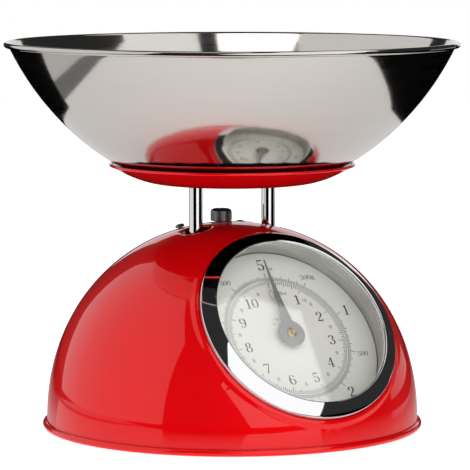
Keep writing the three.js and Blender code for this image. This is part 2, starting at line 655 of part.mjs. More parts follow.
function makeChassis() {
  const [front, back] = [topScrewY - 21, chassisBack + sheet];
  const wide = [-chassisHalfWidth, chassisHalfWidth];
  const places = [-1, 1].map((side) => frameOnDome(side * topScrewX, topScrewY).matrix);
  const clearHoles = places.map((place) => rod(4.5, -25, 10).applyMatrix4(place));
  const topPlate = cut(join(
    block([-flangeHalfWidth, flangeHalfWidth], [front, back], [chassisTop - sheet, chassisTop]),
    block(wide, [topScrewY - 10, back], [chassisTop - sheet, chassisTop])), ...clearHoles);
  const backPlate = block(wide, [chassisBack, back], [chassisFoot, chassisTop]);
  const footPlate = block(wide, [carrierPlateY + stopRadius + 2, back], [chassisFoot, chassisFoot + sheet]);
  const cheeks = [-1, 1].map((side) => {
    const x = [side * chassisHalfWidth, side * (chassisHalfWidth - sheet)].sort((a, b) => a - b);
    return block(x, [leverPivotY - 6, back], [lowerPivotZ() - 8, upperPivotZ() + 8]);
  });
  const earDepth = domeWall + fit + 7.2 + fit;
  const ears = places.map((place) => block([-6, 6], [-6, 6], [-earDepth - sheet, -earDepth])
    .applyMatrix4(place));
  const earHoles = places.map((place) => rod(1.9, -earDepth - sheet - 3, -earDepth + 3)
    .applyMatrix4(place));
  const screwHoles = baseScrewPlaces()
    .map(([x, y]) => rod(baseScrewRadius + fit, 0, chassisFoot + 5).translate(x, y, 0));
  const knobHole = rod(3.4, chassisTop - 5, chassisTop + 5).translate(0, springY, 0);
  const pivotHoles = [lowerPivotZ(), upperPivotZ()]
    .map((z) => crossRod(pinRadius + fit, -40, 40, leverPivotY, z));
  addPiece(scale, 'chassis', 'steel', cut(join(topPlate, backPlate, footPlate, ...cheeks, ...ears),
    ...earHoles, ...screwHoles, knobHole, ...pivotHoles));
  for (const [name, side] of [['left', -1], ['right', 1]]) {
    const frame = frameOnDome(side * topScrewX, topScrewY);
    scale.add(frame);
    addPiece(frame, `${name}_top_screw`, 'steel',
      panScrew(topScrewHead, 2.1, 1.5, earDepth + sheet + fit + 2.4).translate(0, 0, fit));
    addPiece(frame, `${name}_top_spacer`, 'aluminium',
      tube(4, 1.9, -earDepth + fit, -domeWall - 1));
    const nutTop = -earDepth - sheet - fit;
    addPiece(frame, `${name}_top_nut`, 'steel', tube(3.2, 1.9, nutTop - 2.2, nutTop, 6));
  }
}

function upperPivotZ() {
  return upperPinZ - loadTravel / 2;
}

function lowerPivotZ() {
  return lowerPinZ - loadTravel / 2;
}

// A lever has two arms and a web behind its pivot; its free end stands at the top of its swing
function makeLever(name, pivotZ) {
  const half = leverHeight / 2;
  const slack = leverReach * (1 / Math.cos(leverSwing) - 1);
  const tip = -leverReach - slack - 4;
  const arms = [-1, 1].map((side) => {
    const x = [side * leverArmX, side * (leverArmX + leverGauge)].sort((a, b) => a - b);
    return block(x, [tip, 5], [-half, half]);
  });
  const outerX = leverArmX + leverGauge;
  const web = block([-outerX, outerX], [5 - leverGauge, 5], [-half, half]);
  const pivotHole = crossRod(pinRadius + fit, -40, 40, 0, 0);
  const slotHalf = pinRadius + fit;
  const slot = block([-40, 40], [-leverReach - slack - slotHalf, -leverReach + slotHalf],
    [-slotHalf, slotHalf]);
  const group = new THREE.Group();
  group.position.set(0, leverPivotY, pivotZ);
  group.rotation.x = -leverSwing;
  scale.add(group);
  addPiece(group, `${name}_lever`, 'steel', cut(join(...arms, web), pivotHole, slot));
  const end = chassisHalfWidth + 1.5;
  addPiece(scale, `${name}_lever_pin`, 'steel',
    crossRod(pinRadius, -end, end, leverPivotY, pivotZ));
}

// A coil with a straight hook wire at each end, through the hanger and through the shelf
function makeSpring(name, x) {
  const coilTop = hangerUnder - 4;
  const coilFoot = shelfTop + 4;
  const stepsPerTurn = 7;
  const points = [new THREE.Vector3(4, 0, hangerUnder + hangerWall + 1.2),
    new THREE.Vector3(0.8, 0, hangerUnder + hangerWall + 1.2),
    new THREE.Vector3(0, 0, hangerUnder + hangerWall + 0.4),
    new THREE.Vector3(0, 0, hangerUnder - 1.5)];
  for (let i = 0; i <= springTurns * stepsPerTurn; i += 1) {
    const angle = (i / stepsPerTurn) * 2 * Math.PI;
    const z = THREE.MathUtils.lerp(coilTop, coilFoot, i / (springTurns * stepsPerTurn));
    points.push(new THREE.Vector3(springRadius * Math.cos(angle), springRadius * Math.sin(angle), z));
  }
  points.push(new THREE.Vector3(0, 0, shelfTop + 1.5),
    new THREE.Vector3(0, 0, shelfTop - sheet - 0.4),
    new THREE.Vector3(0.8, 0, shelfTop - sheet - 1.2),
    new THREE.Vector3(4, 0, shelfTop - sheet - 1.2));
  const section = new THREE.Shape(arc(0, 0, springWire, 0, 288, 4)
    .map(([a, b]) => new THREE.Vector2(a, b)));
  const curve = new THREE.CatmullRomCurve3(points, false, 'centripetal');
  const geometry = new THREE.ExtrudeGeometry(section,
    { steps: points.length, extrudePath: curve, bevelEnabled: false });
  addPiece(scale, name, 'steel', geometry.translate(x, springY, 0));
}

function makeZeroSetting() {
  const { z: seat } = domeSurface(springY + knobRadius - 4);
  const under = seat + 0.6;
  const top = under + knobHeight;
  const stem = 3.4 - fit;
  const recess = knobRadius - 1.5;
  const screwBore = zeroScrewRadius + fit;
  const blank = turned([[screwBore, chassisTop + fit], [stem, chassisTop + fit], [stem, under],
    [knobRadius, under], [knobRadius, top - 1.2], [knobRadius - 0.8, top], [recess, top],
    [recess, top - 2], [screwBore, top - 2]], 24);
  addPiece(scale, 'zero_knob', 'blackened', blank.translate(0, springY, 0));
  const screw = rod(zeroScrewRadius, hangerUnder - 7, top - 1.2);
  addPiece(scale, 'zero_screw', 'steel', screw.translate(0, springY, 0));
  const clip = tube(4.6, screwBore, chassisTop - sheet - fit - 1.5, chassisTop - sheet - fit);
  addPiece(scale, 'zero_screw_collar', 'brass', clip.translate(0, springY, 0));
  const bar = block([-springX - 4, springX + 4], [springY - 5, springY + 5],
    [hangerUnder, hangerUnder + hangerWall]);
  const screwHole = rod(zeroScrewRadius + fit, 0, domeTop).translate(0, springY, 0);
  const hookHoles = [-1, 1].map((side) => rod(springWire + 0.6, 0, domeTop)
    .translate(side * springX, springY, 0));
  addPiece(scale, 'spring_hanger', 'steel', cut(bar, screwHole, ...hookHoles));
}

// ---- Assembly -------------------------------------------------------------------------------

makeBase();
makeDome();
makeDialPan();
makeDialFace();
makeBezel();
makePointer();
makeSpindle();
makeBushes();
makeBracket();
makeRackGuide();
makeRack();
makeChassis();
makeLever('upper', upperPivotZ());
makeLever('lower', lowerPivotZ());
makeCarrier();
makeSpring('left_spring', -springX);
makeSpring('right_spring', springX);
makeZeroSetting();
makePosts();
makeDish();
makeBowl();

export default scale;
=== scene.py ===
"""A kitchen scale: a domed red body with a round dial, a small dish on two posts and a steel bowl.

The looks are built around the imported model, which is loaded as a fixed frame. Shapes are drawn in
millimetres and put in place in metres.
"""

import json
import math

import bmesh
import bpy
import numpy as np
from bpy.props import FloatProperty, FloatVectorProperty, IntProperty, PointerProperty
from mathutils import Matrix, Vector


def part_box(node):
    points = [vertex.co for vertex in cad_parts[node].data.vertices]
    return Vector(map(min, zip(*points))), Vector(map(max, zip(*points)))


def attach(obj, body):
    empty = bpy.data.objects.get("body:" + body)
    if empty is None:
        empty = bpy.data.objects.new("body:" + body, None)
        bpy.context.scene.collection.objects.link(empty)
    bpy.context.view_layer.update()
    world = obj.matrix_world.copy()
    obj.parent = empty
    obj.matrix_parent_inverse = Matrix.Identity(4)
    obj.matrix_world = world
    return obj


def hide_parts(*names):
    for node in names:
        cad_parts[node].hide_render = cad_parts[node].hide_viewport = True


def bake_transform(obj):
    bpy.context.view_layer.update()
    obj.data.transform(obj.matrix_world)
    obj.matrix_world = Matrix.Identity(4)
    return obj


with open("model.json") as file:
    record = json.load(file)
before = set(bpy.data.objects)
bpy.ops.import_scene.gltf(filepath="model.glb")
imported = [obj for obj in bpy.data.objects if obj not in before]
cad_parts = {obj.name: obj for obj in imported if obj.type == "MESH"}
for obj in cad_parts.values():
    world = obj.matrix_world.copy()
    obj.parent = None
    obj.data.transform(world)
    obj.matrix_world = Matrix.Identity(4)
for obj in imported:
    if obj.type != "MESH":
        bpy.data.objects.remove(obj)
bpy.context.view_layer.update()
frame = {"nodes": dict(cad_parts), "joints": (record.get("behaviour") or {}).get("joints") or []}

bl_info = {
    "name": "Kitchen Scale",
    "version": (1, 0, 0),
    "blender": (4, 5, 0),
    "location": "3D View > Sidebar > Kitchen Scale",
    "description": "Builds a kitchen scale with a domed body, a dial and a bowl",
    "category": "Object",
}

MM = 0.001
SMOOTH_STEPS = 192      # round the large turned pieces
SMALL_STEPS = 48        # round posts, screws and the knob


# ---- Frame ------------------------------------------------------------------------------------


def box(node):
    """The lowest and highest corners of a CAD node, in millimetres."""
    low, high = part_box(node)
    return low / MM, high / MM


def dial_frame():
    """The dial's own frame: Z comes out of the dial, Y runs up it, and 0 is where it meets the dome."""
    turn = next(joint for joint in frame["joints"] if joint["name"] == "pointer_turn")
    outward = -Vector(turn["axis"]).normalized()
    upward = outward.cross(Vector((1, 0, 0)))
    low, high = box("lens")
    lens_middle = LENS_TOP - LENS_THICKNESS / 2
    centre = (low + high) / 2 - outward * lens_middle
    matrix = Matrix((Vector((1, 0, 0)), upward, outward)).transposed().to_4x4()
    matrix.translation = centre
    return matrix


LENS_TOP, LENS_THICKNESS = 3.4, 1.5
DIAL = dial_frame()
DOME_TOP = box("dome")[1].z
DOME_RADIUS = box("dome")[1].x - 2.5
BOWL_LOW, BOWL_HIGH = box("bowl")
DISH_LOW, DISH_HIGH = box("dish")
POST_X = sum(c.x for c in box("right_post")) / 2


# ---- Settings ---------------------------------------------------------------------------------


def linear(hex_colour):
    """An sRGB hex colour as linear RGBA."""
    channels = [int(hex_colour[i:i + 2], 16) / 255 for i in (0, 2, 4)]
    return (*(c / 12.92 if c <= 0.04045 else ((c + 0.055) / 1.055) ** 2.4 for c in channels), 1.0)


def size(name, description, millimetres):
    """A length that a user may change."""
    return FloatProperty(name=name, description=description, default=millimetres * MM, min=0.0,
                         precision=5, unit="LENGTH")


def colour(name, description, hex_colour):
    """A colour that a user may change."""
    return FloatVectorProperty(name=name, description=description, default=linear(hex_colour),
                               min=0.0, max=1.0, size=4, subtype="COLOR")


class BodySizes(bpy.types.PropertyGroup):
    """Sizes of the domed body."""

    radius: size("Radius", "Radius of the dome where its wall stands upright", DOME_RADIUS)
    height: size("Height", "Height of the dome above its upright foot", DOME_TOP - 5.5)
    wall: size("Wall", "Thickness of the pressed sheet", 1.0)
    bead: size("Bead", "Radius of the rolled bead round the foot", 2.0)
    shoulder: size("Shoulder", "How far the pressed edge stands up round the dial", 0.42)
    squareness: FloatProperty(name="Squareness", default=2.076, min=1.5, max=4.0,
                              description="Exponent of the dome's curve: 2 is an ellipse")


class BowlSizes(bpy.types.PropertyGroup):
    """Sizes of the bowl and of the dish under it."""

    wall: size("Wall", "Thickness of the bowl's sheet", 1.0)
    bead: size("Rim bead", "Radius of the rolled rim", 1.7)
    dish_wall: size("Dish wall", "Thickness of the dish's sheet", 0.8)
    dish_lip: size("Dish lip", "Radius of the dish's rolled edge", 0.9)


class DialSizes(bpy.types.PropertyGroup):
    """Sizes of the dial and what is printed on it."""

    ring: size("Ring", "Radius of the pale ring between the two scales", 38.3)
    tick: size("Tick width", "Width of a tick mark", 0.34)
    ink: size("Ink", "Thickness of the print", 0.04)
    capacity: FloatProperty(name="Capacity", default=5.0, min=1.0, max=20.0,
                            description="Kilograms that one turn of the pointer shows")
    divisions: IntProperty(name="Divisions", default=50, min=10, max=100,
                           description="Ticks for each kilogram")


class Finishes(bpy.types.PropertyGroup):
    """Colours of the finishes."""

    paint: colour("Paint", "Red lacquer of the body and the dish", "DA050C")
    stainless: colour("Stainless", "Polished steel of the bowl", "CFCBC6")
    chrome: colour("Chrome", "Plating of the bezel and the posts", "E4E4E6")
    face: colour("Dial face", "Ground colour of the dial", "E9E7E3")
    ink: colour("Ink", "Print on the dial", "2A292B")
    pointer: colour("Pointer", "Paint of the pointer", "7C7B7E")


class StudioSettings(bpy.types.PropertyGroup):
    """The stage and its lights."""

    floor: colour("Floor", "Colour of the floor", "F4F4F4")
    light: FloatProperty(name="Light", default=1.0, min=0.0, max=5.0,
                         description="Brightness of all the soft boxes")
    lens: FloatProperty(name="Lens", default=238.1, min=20.0, max=400.0,
                        description="Focal length of the camera in millimetres")


def shape_settings(context, group):
    """One group of settings."""
    return getattr(context.scene.kitchen_scale, group)


class KitchenScale(bpy.types.PropertyGroup):
    """All that a user may change."""

    body: PointerProperty(type=BodySizes)
    bowl: PointerProperty(type=BowlSizes)
    dial: PointerProperty(type=DialSizes)
    finishes: PointerProperty(type=Finishes)
    studio: PointerProperty(type=StudioSettings)


# ---- Nodes ------------------------------------------------------------------------------------


def add_node(tree, kind, inputs=None, **settings):
    """Adds a node with its settings. inputs gives each socket a value or the output that feeds it."""
    node = tree.nodes.new(kind)
    for name, value in settings.items():
        setattr(node, name, value)
    for name, value in (inputs or {}).items():
        if isinstance(value, bpy.types.NodeSocket):
            tree.links.new(value, node.inputs[name])
        else:
            node.inputs[name].default_value = value
    return node


def start_tree(name, **sockets):
    """A Geometry Nodes tree with a Geometry input, the named inputs and a Geometry output."""
    tree = bpy.data.node_groups.new(name, "GeometryNodeTree")
    tree.interface.new_socket("Geometry", in_out="OUTPUT", socket_type="NodeSocketGeometry")
    tree.interface.new_socket("Geometry", in_out="INPUT", socket_type="NodeSocketGeometry")
    for label, kind in sockets.items():
        tree.interface.new_socket(label.replace("_", " "), in_out="INPUT",
                                  socket_type=f"NodeSocket{kind}")
    return tree, add_node(tree, "NodeGroupInput").outputs


def end_tree(tree, geometry, given):
    """Closes a tree: instances made real, then the material."""
    real = add_node(tree, "GeometryNodeRealizeInstances", {0: geometry}).outputs[0]
    done = add_node(tree, "GeometryNodeSetMaterial",
                    {"Geometry": real, "Material": given["Material"]}).outputs[0]
    add_node(tree, "NodeGroupOutput", {0: done})
    return tree


def turning_tree():
    """Turns an outline, drawn as a chain of points in the XZ plane, about the Z axis."""
    tree, given = start_tree("Turned Piece", Rows="Int", Steps="Int", Material="Material")
    columns = add_node(tree, "ShaderNodeMath", {0: given["Steps"], 1: 1.0}).outputs[0]
    grid = add_node(tree, "GeometryNodeMeshGrid", {
        "Size X": 1.0, "Size Y": 1.0, "Vertices X": given["Rows"], "Vertices Y": columns})
    place = add_node(tree, "GeometryNodeInputPosition").outputs[0]
    across = add_node(tree, "ShaderNodeSeparateXYZ", {0: place}).outputs
    share = add_node(tree, "ShaderNodeMath", {0: across[0], 1: 0.5}).outputs[0]
    last = add_node(tree, "ShaderNodeMath", {0: given["Rows"], 1: 1.0}, operation="SUBTRACT").outputs[0]
    row = add_node(tree, "ShaderNodeMath", {0: share, 1: last}, operation="MULTIPLY").outputs[0]
    row = add_node(tree, "ShaderNodeMath", {0: row}, operation="ROUND").outputs[0]
    angle = add_node(tree, "ShaderNodeMath", {0: across[1], 1: math.tau}, operation="MULTIPLY").outputs[0]
    drawn = add_node(tree, "GeometryNodeSampleIndex", data_type="FLOAT_VECTOR", domain="POINT")
    tree.links.new(given["Geometry"], drawn.inputs["Geometry"])
    tree.links.new(place, drawn.inputs["Value"])
    tree.links.new(row, drawn.inputs["Index"])
    turned_to = add_node(tree, "ShaderNodeVectorRotate", {"Vector": drawn.outputs[0], "Angle": angle},
                         rotation_type="Z_AXIS").outputs[0]
    moved = add_node(tree, "GeometryNodeSetPosition",
                     {"Geometry": grid.outputs["Mesh"], "Position": turned_to}).outputs[0]
    closed = add_node(tree, "GeometryNodeMergeByDistance", {"Geometry": moved, "Distance": 0.0005})
    return end_tree(tree, closed.outputs[0], given)


def tick_tree():
    """A round scale of tick marks, each a thin bar, from the top clockwise."""
    tree, given = start_tree("Tick Marks", Count="Int", Step="Float", Radius="Float", Short="Float",
                             Middle="Float", Long="Float", Middle_Every="Int", Long_Every="Int",
                             Outward="Float", Width="Float", Thickness="Float", Material="Material")
    points = add_node(tree, "GeometryNodeMeshLine", {"Count": given["Count"]}).outputs[0]
    index = add_node(tree, "GeometryNodeInputIndex").outputs[0]
    angle = add_node(tree, "ShaderNodeMath", {0: index, 1: given["Step"]}, operation="MULTIPLY").outputs[0]
    length = given["Short"]
    for name in ("Middle", "Long"):
        over = add_node(tree, "FunctionNodeIntegerMath", {0: index, 1: given[f"{name} Every"]},
                        operation="FLOORED_MODULO").outputs[0]
        hit = add_node(tree, "FunctionNodeCompare", data_type="INT", operation="EQUAL")
        tree.links.new(over, hit.inputs[2])
        length = add_node(tree, "GeometryNodeSwitch",
                          {"Switch": hit.outputs[0], "False": length, "True": given[name]},
                          input_type="FLOAT").outputs[0]
    half = add_node(tree, "ShaderNodeMath", {0: length, 1: 0.5}, operation="MULTIPLY").outputs[0]
    reach = add_node(tree, "ShaderNodeMath", {0: half, 1: given["Outward"], 2: given["Radius"]},
                     operation="MULTIPLY_ADD").outputs[0]
    middle = add_node(tree, "ShaderNodeCombineXYZ", {"Y": reach}).outputs[0]
    lean = add_node(tree, "ShaderNodeMath", {0: angle, 1: -1.0}, operation="MULTIPLY").outputs[0]
    place = add_node(tree, "ShaderNodeVectorRotate", {"Vector": middle, "Angle": lean},
                     rotation_type="Z_AXIS").outputs[0]
    laid = add_node(tree, "GeometryNodeSetPosition", {"Geometry": points, "Position": place}).outputs[0]
    bar = add_node(tree, "GeometryNodeMeshCube", {"Size": (1.0, 1.0, 1.0)}).outputs[0]
    shape = add_node(tree, "ShaderNodeCombineXYZ",
                     {"X": given["Width"], "Y": length, "Z": given["Thickness"]}).outputs[0]
    facing = add_node(tree, "ShaderNodeCombineXYZ", {"Z": lean}).outputs[0]
    marks = add_node(tree, "GeometryNodeInstanceOnPoints",
                     {"Points": laid, "Instance": bar, "Rotation": facing, "Scale": shape}).outputs[0]
    return end_tree(tree, marks, given)


def copies_tree():
    """Copies of one piece, such as a screw, on points that carry the direction it points in."""
    tree, given = start_tree("Copies In Place", Piece="Object", Material="Material")
    piece = add_node(tree, "GeometryNodeObjectInfo", {"Object": given["Piece"]}).outputs["Geometry"]
    direction = add_node(tree, "GeometryNodeInputNamedAttribute", {"Name": "direction"},
                         data_type="FLOAT_VECTOR").outputs[0]
    facing = add_node(tree, "FunctionNodeAlignRotationToVector", {"Vector": direction},
                      axis="Z").outputs[0]
    copies = add_node(tree, "GeometryNodeInstanceOnPoints",
                      {"Points": given["Geometry"], "Instance": piece, "Rotation": facing}).outputs[0]
    return end_tree(tree, copies, given)


def knurl_tree():
    """Straight ribs round a knob: square bars turned edge out."""
    tree, given = start_tree("Knurl", Ribs="Int", Radius="Float", Depth="Float", Height="Float",
                             Foot="Float", Material="Material")
    circle = add_node(tree, "GeometryNodeMeshCircle",
                      {"Vertices": given["Ribs"], "Radius": given["Radius"]}).outputs[0]
    place = add_node(tree, "GeometryNodeInputPosition").outputs[0]
    parts = add_node(tree, "ShaderNodeSeparateXYZ", {0: place}).outputs
    angle = add_node(tree, "ShaderNodeMath", {0: parts[1], 1: parts[0]}, operation="ARCTAN2").outputs[0]
    edge_out = add_node(tree, "ShaderNodeMath", {0: angle, 1: math.radians(45)}).outputs[0]
    facing = add_node(tree, "ShaderNodeCombineXYZ", {"Z": edge_out}).outputs[0]
    half = add_node(tree, "ShaderNodeMath", {0: given["Height"], 1: 0.5, 2: given["Foot"]},
                    operation="MULTIPLY_ADD").outputs[0]
    raised = add_node(tree, "ShaderNodeCombineXYZ", {"Z": half}).outputs[0]
    lifted = add_node(tree, "GeometryNodeSetPosition", {"Geometry": circle, "Offset": raised}).outputs[0]
    bar = add_node(tree, "GeometryNodeMeshCube", {"Size": (1.0, 1.0, 1.0)}).outputs[0]
    shape = add_node(tree, "ShaderNodeCombineXYZ",
                     {"X": given["Depth"], "Y": given["Depth"], "Z": given["Height"]}).outputs[0]
    ribs = add_node(tree, "GeometryNodeInstanceOnPoints",
                    {"Points": lifted, "Instance": bar, "Rotation": facing, "Scale": shape}).outputs[0]
    return end_tree(tree, ribs, given)


def wire_tree():
    """Round wire along a path of points."""
    tree, given = start_tree("Bent Wire", Wire_Radius="Float", Sides="Int", Material="Material")
    path = add_node(tree, "GeometryNodeMeshToCurve", {0: given["Geometry"]}).outputs[0]
    section = add_node(tree, "GeometryNodeCurvePrimitiveCircle",
                       {"Resolution": given["Sides"], "Radius": given["Wire Radius"]}).outputs[0]
    wire = add_node(tree, "GeometryNodeCurveToMesh", {0: path, 1: section, "Fill Caps": True}).outputs[0]
    return end_tree(tree, wire, given)


TREES = {}


def grown(make_tree, mesh, **values):
    """The plain mesh that a Geometry Nodes tree makes from a starting mesh and named values."""
    tree = TREES.get(make_tree.__name__) or TREES.setdefault(make_tree.__name__, make_tree())
    maker = bpy.data.objects.new("maker", mesh)
    bpy.context.scene.collection.objects.link(maker)
    modifier = maker.modifiers.new("Shape", "NODES")
    modifier.node_group = tree
    for item in tree.interface.items_tree:
        if item.in_out == "INPUT" and item.name.replace(" ", "_") in values:
            modifier[item.identifier] = values[item.name.replace(" ", "_")]
    bpy.context.view_layer.update()
    made = bpy.data.meshes.new_from_object(maker.evaluated_get(bpy.context.evaluated_depsgraph_get()))
    bpy.data.objects.remove(maker)
    return covered(made, values["Material"])


def covered(mesh, material):
    """The mesh with one material on every face."""
    mesh.materials.clear()
    mesh.materials.append(material)
    mesh.polygons.foreach_set("material_index", [0] * len(mesh.polygons))
    return mesh


# ---- Meshes -----------------------------------------------------------------------------------


def chain(points):
    """A mesh with only points and the edges between them, in order."""
    mesh = bpy.data.meshes.new("chain")
    mesh.from_pydata([tuple(p) for p in points], [(i, i + 1) for i in range(len(points) - 1)], [])
    return mesh


def face_out(mesh):
    """Turns the faces of closed shells outwards."""
    solid = bmesh.new()
    solid.from_mesh(mesh)
    bmesh.ops.recalc_face_normals(solid, faces=solid.faces)
    solid.to_mesh(mesh)
    solid.free()
    return mesh


def turned(outline, material, steps=SMOOTH_STEPS):
    """A piece turned about Z from an outline of (radius, height) points."""
    line = chain([(r, 0, z) for r, z in outline])
    return face_out(grown(turning_tree, line, Rows=len(outline), Steps=steps, Material=material))


def combined(mesh, operation, *tools):
    """The mesh with the tools cut from it or joined to it."""
    parts = [bpy.data.objects.new("part", m) for m in (mesh, *tools)]
    for part in parts:
        bpy.context.scene.collection.objects.link(part)
    for tool in parts[1:]:
        modifier = parts[0].modifiers.new("Join", "BOOLEAN")
        modifier.operation, modifier.solver, modifier.object = operation, "EXACT", tool
    bpy.context.view_layer.update()
    made = bpy.data.meshes.new_from_object(
        parts[0].evaluated_get(bpy.context.evaluated_depsgraph_get()))
    for part in parts:
        bpy.data.objects.remove(part)
    return made


def merged(*meshes):
    """Several meshes as one, each keeping its own shells."""
    solid = bmesh.new()
    for mesh in meshes:
        solid.from_mesh(mesh)
    made = bpy.data.meshes.new("merged")
    solid.to_mesh(made)
    solid.free()
    return covered(made, meshes[0].materials[0])


def prism(outline, low, high, material=None):
    """A flat plate with the given outline, in the XY plane."""
    count = len(outline)
    points = [(x, y, z) for z in (low, high) for x, y in outline]
    sides = [(i, (i + 1) % count, count + (i + 1) % count, count + i) for i in range(count)]
    mesh = bpy.data.meshes.new("plate")
    mesh.from_pydata(points, [], [tuple(range(count)), tuple(range(count, 2 * count)), *sides])
    if material:
        mesh.materials.append(material)
    return face_out(mesh)


def rounded(mesh, width, segments=2):
    """The mesh with its sharp edges bevelled."""
    solid = bmesh.new()
    solid.from_mesh(mesh)
    sharp = [e for e in solid.edges if e.is_manifold and e.calc_face_angle() > math.radians(40)]
    bmesh.ops.bevel(solid, geom=sharp, offset=width, segments=segments, affect="EDGES", profile=0.5)
    solid.to_mesh(mesh)
    solid.free()
    return mesh


def arc(centre, radius, start, stop, steps):
    """Points on a circle from one angle to another, in degrees."""
    angles = [math.radians(start + (stop - start) * i / steps) for i in range(steps + 1)]
    return [(centre[0] + radius * math.cos(a), centre[1] + radius * math.sin(a)) for a in angles]


def add_piece(name, mesh, body, replaced, place=None, sharp=35):
    """Puts a finished mesh in the scene as a piece that moves with a body."""
    mesh.transform(Matrix.Scale(MM, 4) @ (place or Matrix()))
    if sharp:
        mesh.shade_smooth()
        mesh.set_sharp_from_angle(angle=math.radians(sharp))
    mesh.name = name
    piece = bpy.data.objects.new(name, mesh)
    bpy.context.scene.collection.objects.link(piece)
    if body:
        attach(piece, body)
    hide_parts(*replaced)
    return piece


def copies(shape, places, material):
    """One mesh of like pieces. places gives each one's point and the direction of its Z axis."""
    spots = chain([])
    spots.from_pydata([tuple(p) for p, _ in places], [], [])
    direction = spots.attributes.new("direction", "FLOAT_VECTOR", "POINT")
    for i, (_, facing) in enumerate(places):
        direction.data[i].vector = facing
    sample = bpy.data.objects.new("sample", shape)
    bpy.context.scene.collection.objects.link(sample)
    made = grown(copies_tree, spots, Piece=sample, Material=material)
    bpy.data.objects.remove(sample)
    return made


# ---- Materials --------------------------------------------------------------------------------


def start_material(name, **values):
    """A material with one Principled shader whose sockets have these values."""
    found = bpy.data.materials.get(name)
    if found:
        return found, None, None
    material = bpy.data.materials.new(name)
    material.use_nodes = True
    tree = material.node_tree
    tree.nodes.clear()
    sockets = {label.replace("_", " "): value for label, value in values.items()}
    shader = add_node(tree, "ShaderNodeBsdfPrincipled", sockets)
    add_node(tree, "ShaderNodeOutputMaterial", {"Surface": shader.outputs[0]})
    return material, tree, shader


def grain(tree, scale, detail=2.0, place=None):
    """Noise on the piece's own coordinates. scale is repeats for each metre along X, Y and Z."""
    where = place or add_node(tree, "ShaderNodeTexCoord").outputs["Object"]
    stretched = add_node(tree, "ShaderNodeMapping", {"Vector": where, "Scale": scale}).outputs[0]
    return add_node(tree, "ShaderNodeTexNoise",
                    {"Vector": stretched, "Scale": 1.0, "Detail": detail}).outputs["Fac"]


def between(tree, factor, low, high):
    """A number that runs from low to high with a noise."""
    return add_node(tree, "ShaderNodeMapRange",
                    {"Value": factor, "From Min": 0.3, "From Max": 0.7, "To Min": low,
                     "To Max": high}).outputs[0]


def tinted(tree, factor, first, second):
    """A colour that runs between two with a noise."""
    mix = add_node(tree, "ShaderNodeMix", data_type="RGBA")
    tree.links.new(factor, mix.inputs[0])
    mix.inputs[6].default_value, mix.inputs[7].default_value = first, second
    return mix.outputs[2]


def shade(rgba, factor):
    """A linear colour made lighter or darker."""
    return (*(min(1.0, c * factor) for c in rgba[:3]), 1.0)


def bumped(tree, shader, height, distance, strength=0.3):
    """Feeds a small bump, with its depth in millimetres, to the shader."""
    bump = add_node(tree, "ShaderNodeBump",
                    {"Height": height, "Distance": distance * MM, "Strength": strength})
    tree.links.new(bump.outputs[0], shader.inputs["Normal"])


def link(tree, output, shader, name):
    """Feeds a shader's socket."""
    tree.links.new(output, shader.inputs[name])


def red_lacquer(finishes):
    """Red metallic lacquer, sprayed and stoved on pressed steel: fine flake gives the red its
    depth, and the clear coat over it mirrors the lights with a faint orange peel."""
    material, tree, shader = start_material(
        "Red Metallic Lacquer", Metallic=0.35, Specular_IOR_Level=0.0, Coat_Weight=1.0,
        Coat_Roughness=0.035, Coat_IOR=1.5)
    if tree:
        flake = grain(tree, (4000, 4000, 4000), 1.0)      # 0.25 mm, coarser than real flake
        colour_now = tinted(tree, flake, shade(finishes.paint, 0.86), shade(finishes.paint, 1.12))
        link(tree, colour_now, shader, "Base Color")
        link(tree, between(tree, grain(tree, (60, 60, 60)), 0.34, 0.42), shader, "Roughness")
        peel = grain(tree, (420, 420, 420), 1.0)          # orange peel, 2.4 mm across
        bump = add_node(tree, "ShaderNodeBump", {"Height": peel, "Distance": 0.004 * MM,
                                                 "Strength": 0.25})
        tree.links.new(bump.outputs[0], shader.inputs["Coat Normal"])
    return material


def polished_stainless(finishes):
    """Stainless steel spun to shape and polished: a mirror, softened by the fine rings that the
    polishing wheel leaves round the bowl."""
    material, tree, shader = start_material("Polished Stainless Steel", Metallic=1.0)
    if tree:
        rings = grain(tree, (25, 25, 2200), 2.0)          # rings 0.45 mm apart
        colour_now = tinted(tree, rings, shade(finishes.stainless, 0.94), shade(finishes.stainless, 1.04))
        link(tree, colour_now, shader, "Base Color")
        link(tree, between(tree, rings, 0.055, 0.115), shader, "Roughness")
        bumped(tree, shader, rings, 0.002, 0.2)
    return material


def chrome_plate(finishes):
    """Bright chromium plate on buffed brass or steel: almost a perfect mirror."""
    material, tree, shader = start_material("Chromium Plate", Base_Color=tuple(finishes.chrome),
                                            Metallic=1.0)
    if tree:
        link(tree, between(tree, grain(tree, (140, 140, 140)), 0.02, 0.05), shader, "Roughness")
    return material


def dial_enamel(finishes):
    """White stoved enamel on a thin aluminium disc: even, slightly warm, with a soft sheen."""
    material, tree, shader = start_material("White Stoved Enamel", IOR=1.5)
    if tree:
        cloud = grain(tree, (90, 90, 90))
        link(tree, tinted(tree, cloud, shade(finishes.face, 0.97), tuple(finishes.face)), shader,
             "Base Color")
        link(tree, between(tree, cloud, 0.42, 0.5), shader, "Roughness")
    return material


def printing_ink(finishes):
    """Screen-printed ink: dark warm grey, matt, a little uneven where the screen ran thin."""
    material, tree, shader = start_material("Screen Printing Ink", IOR=1.5)
    if tree:
        thin = grain(tree, (1500, 1500, 1500))
        link(tree, tinted(tree, thin, tuple(finishes.ink), shade(finishes.ink, 1.7)), shader, "Base Color")
        link(tree, between(tree, thin, 0.55, 0.7), shader, "Roughness")
    return material


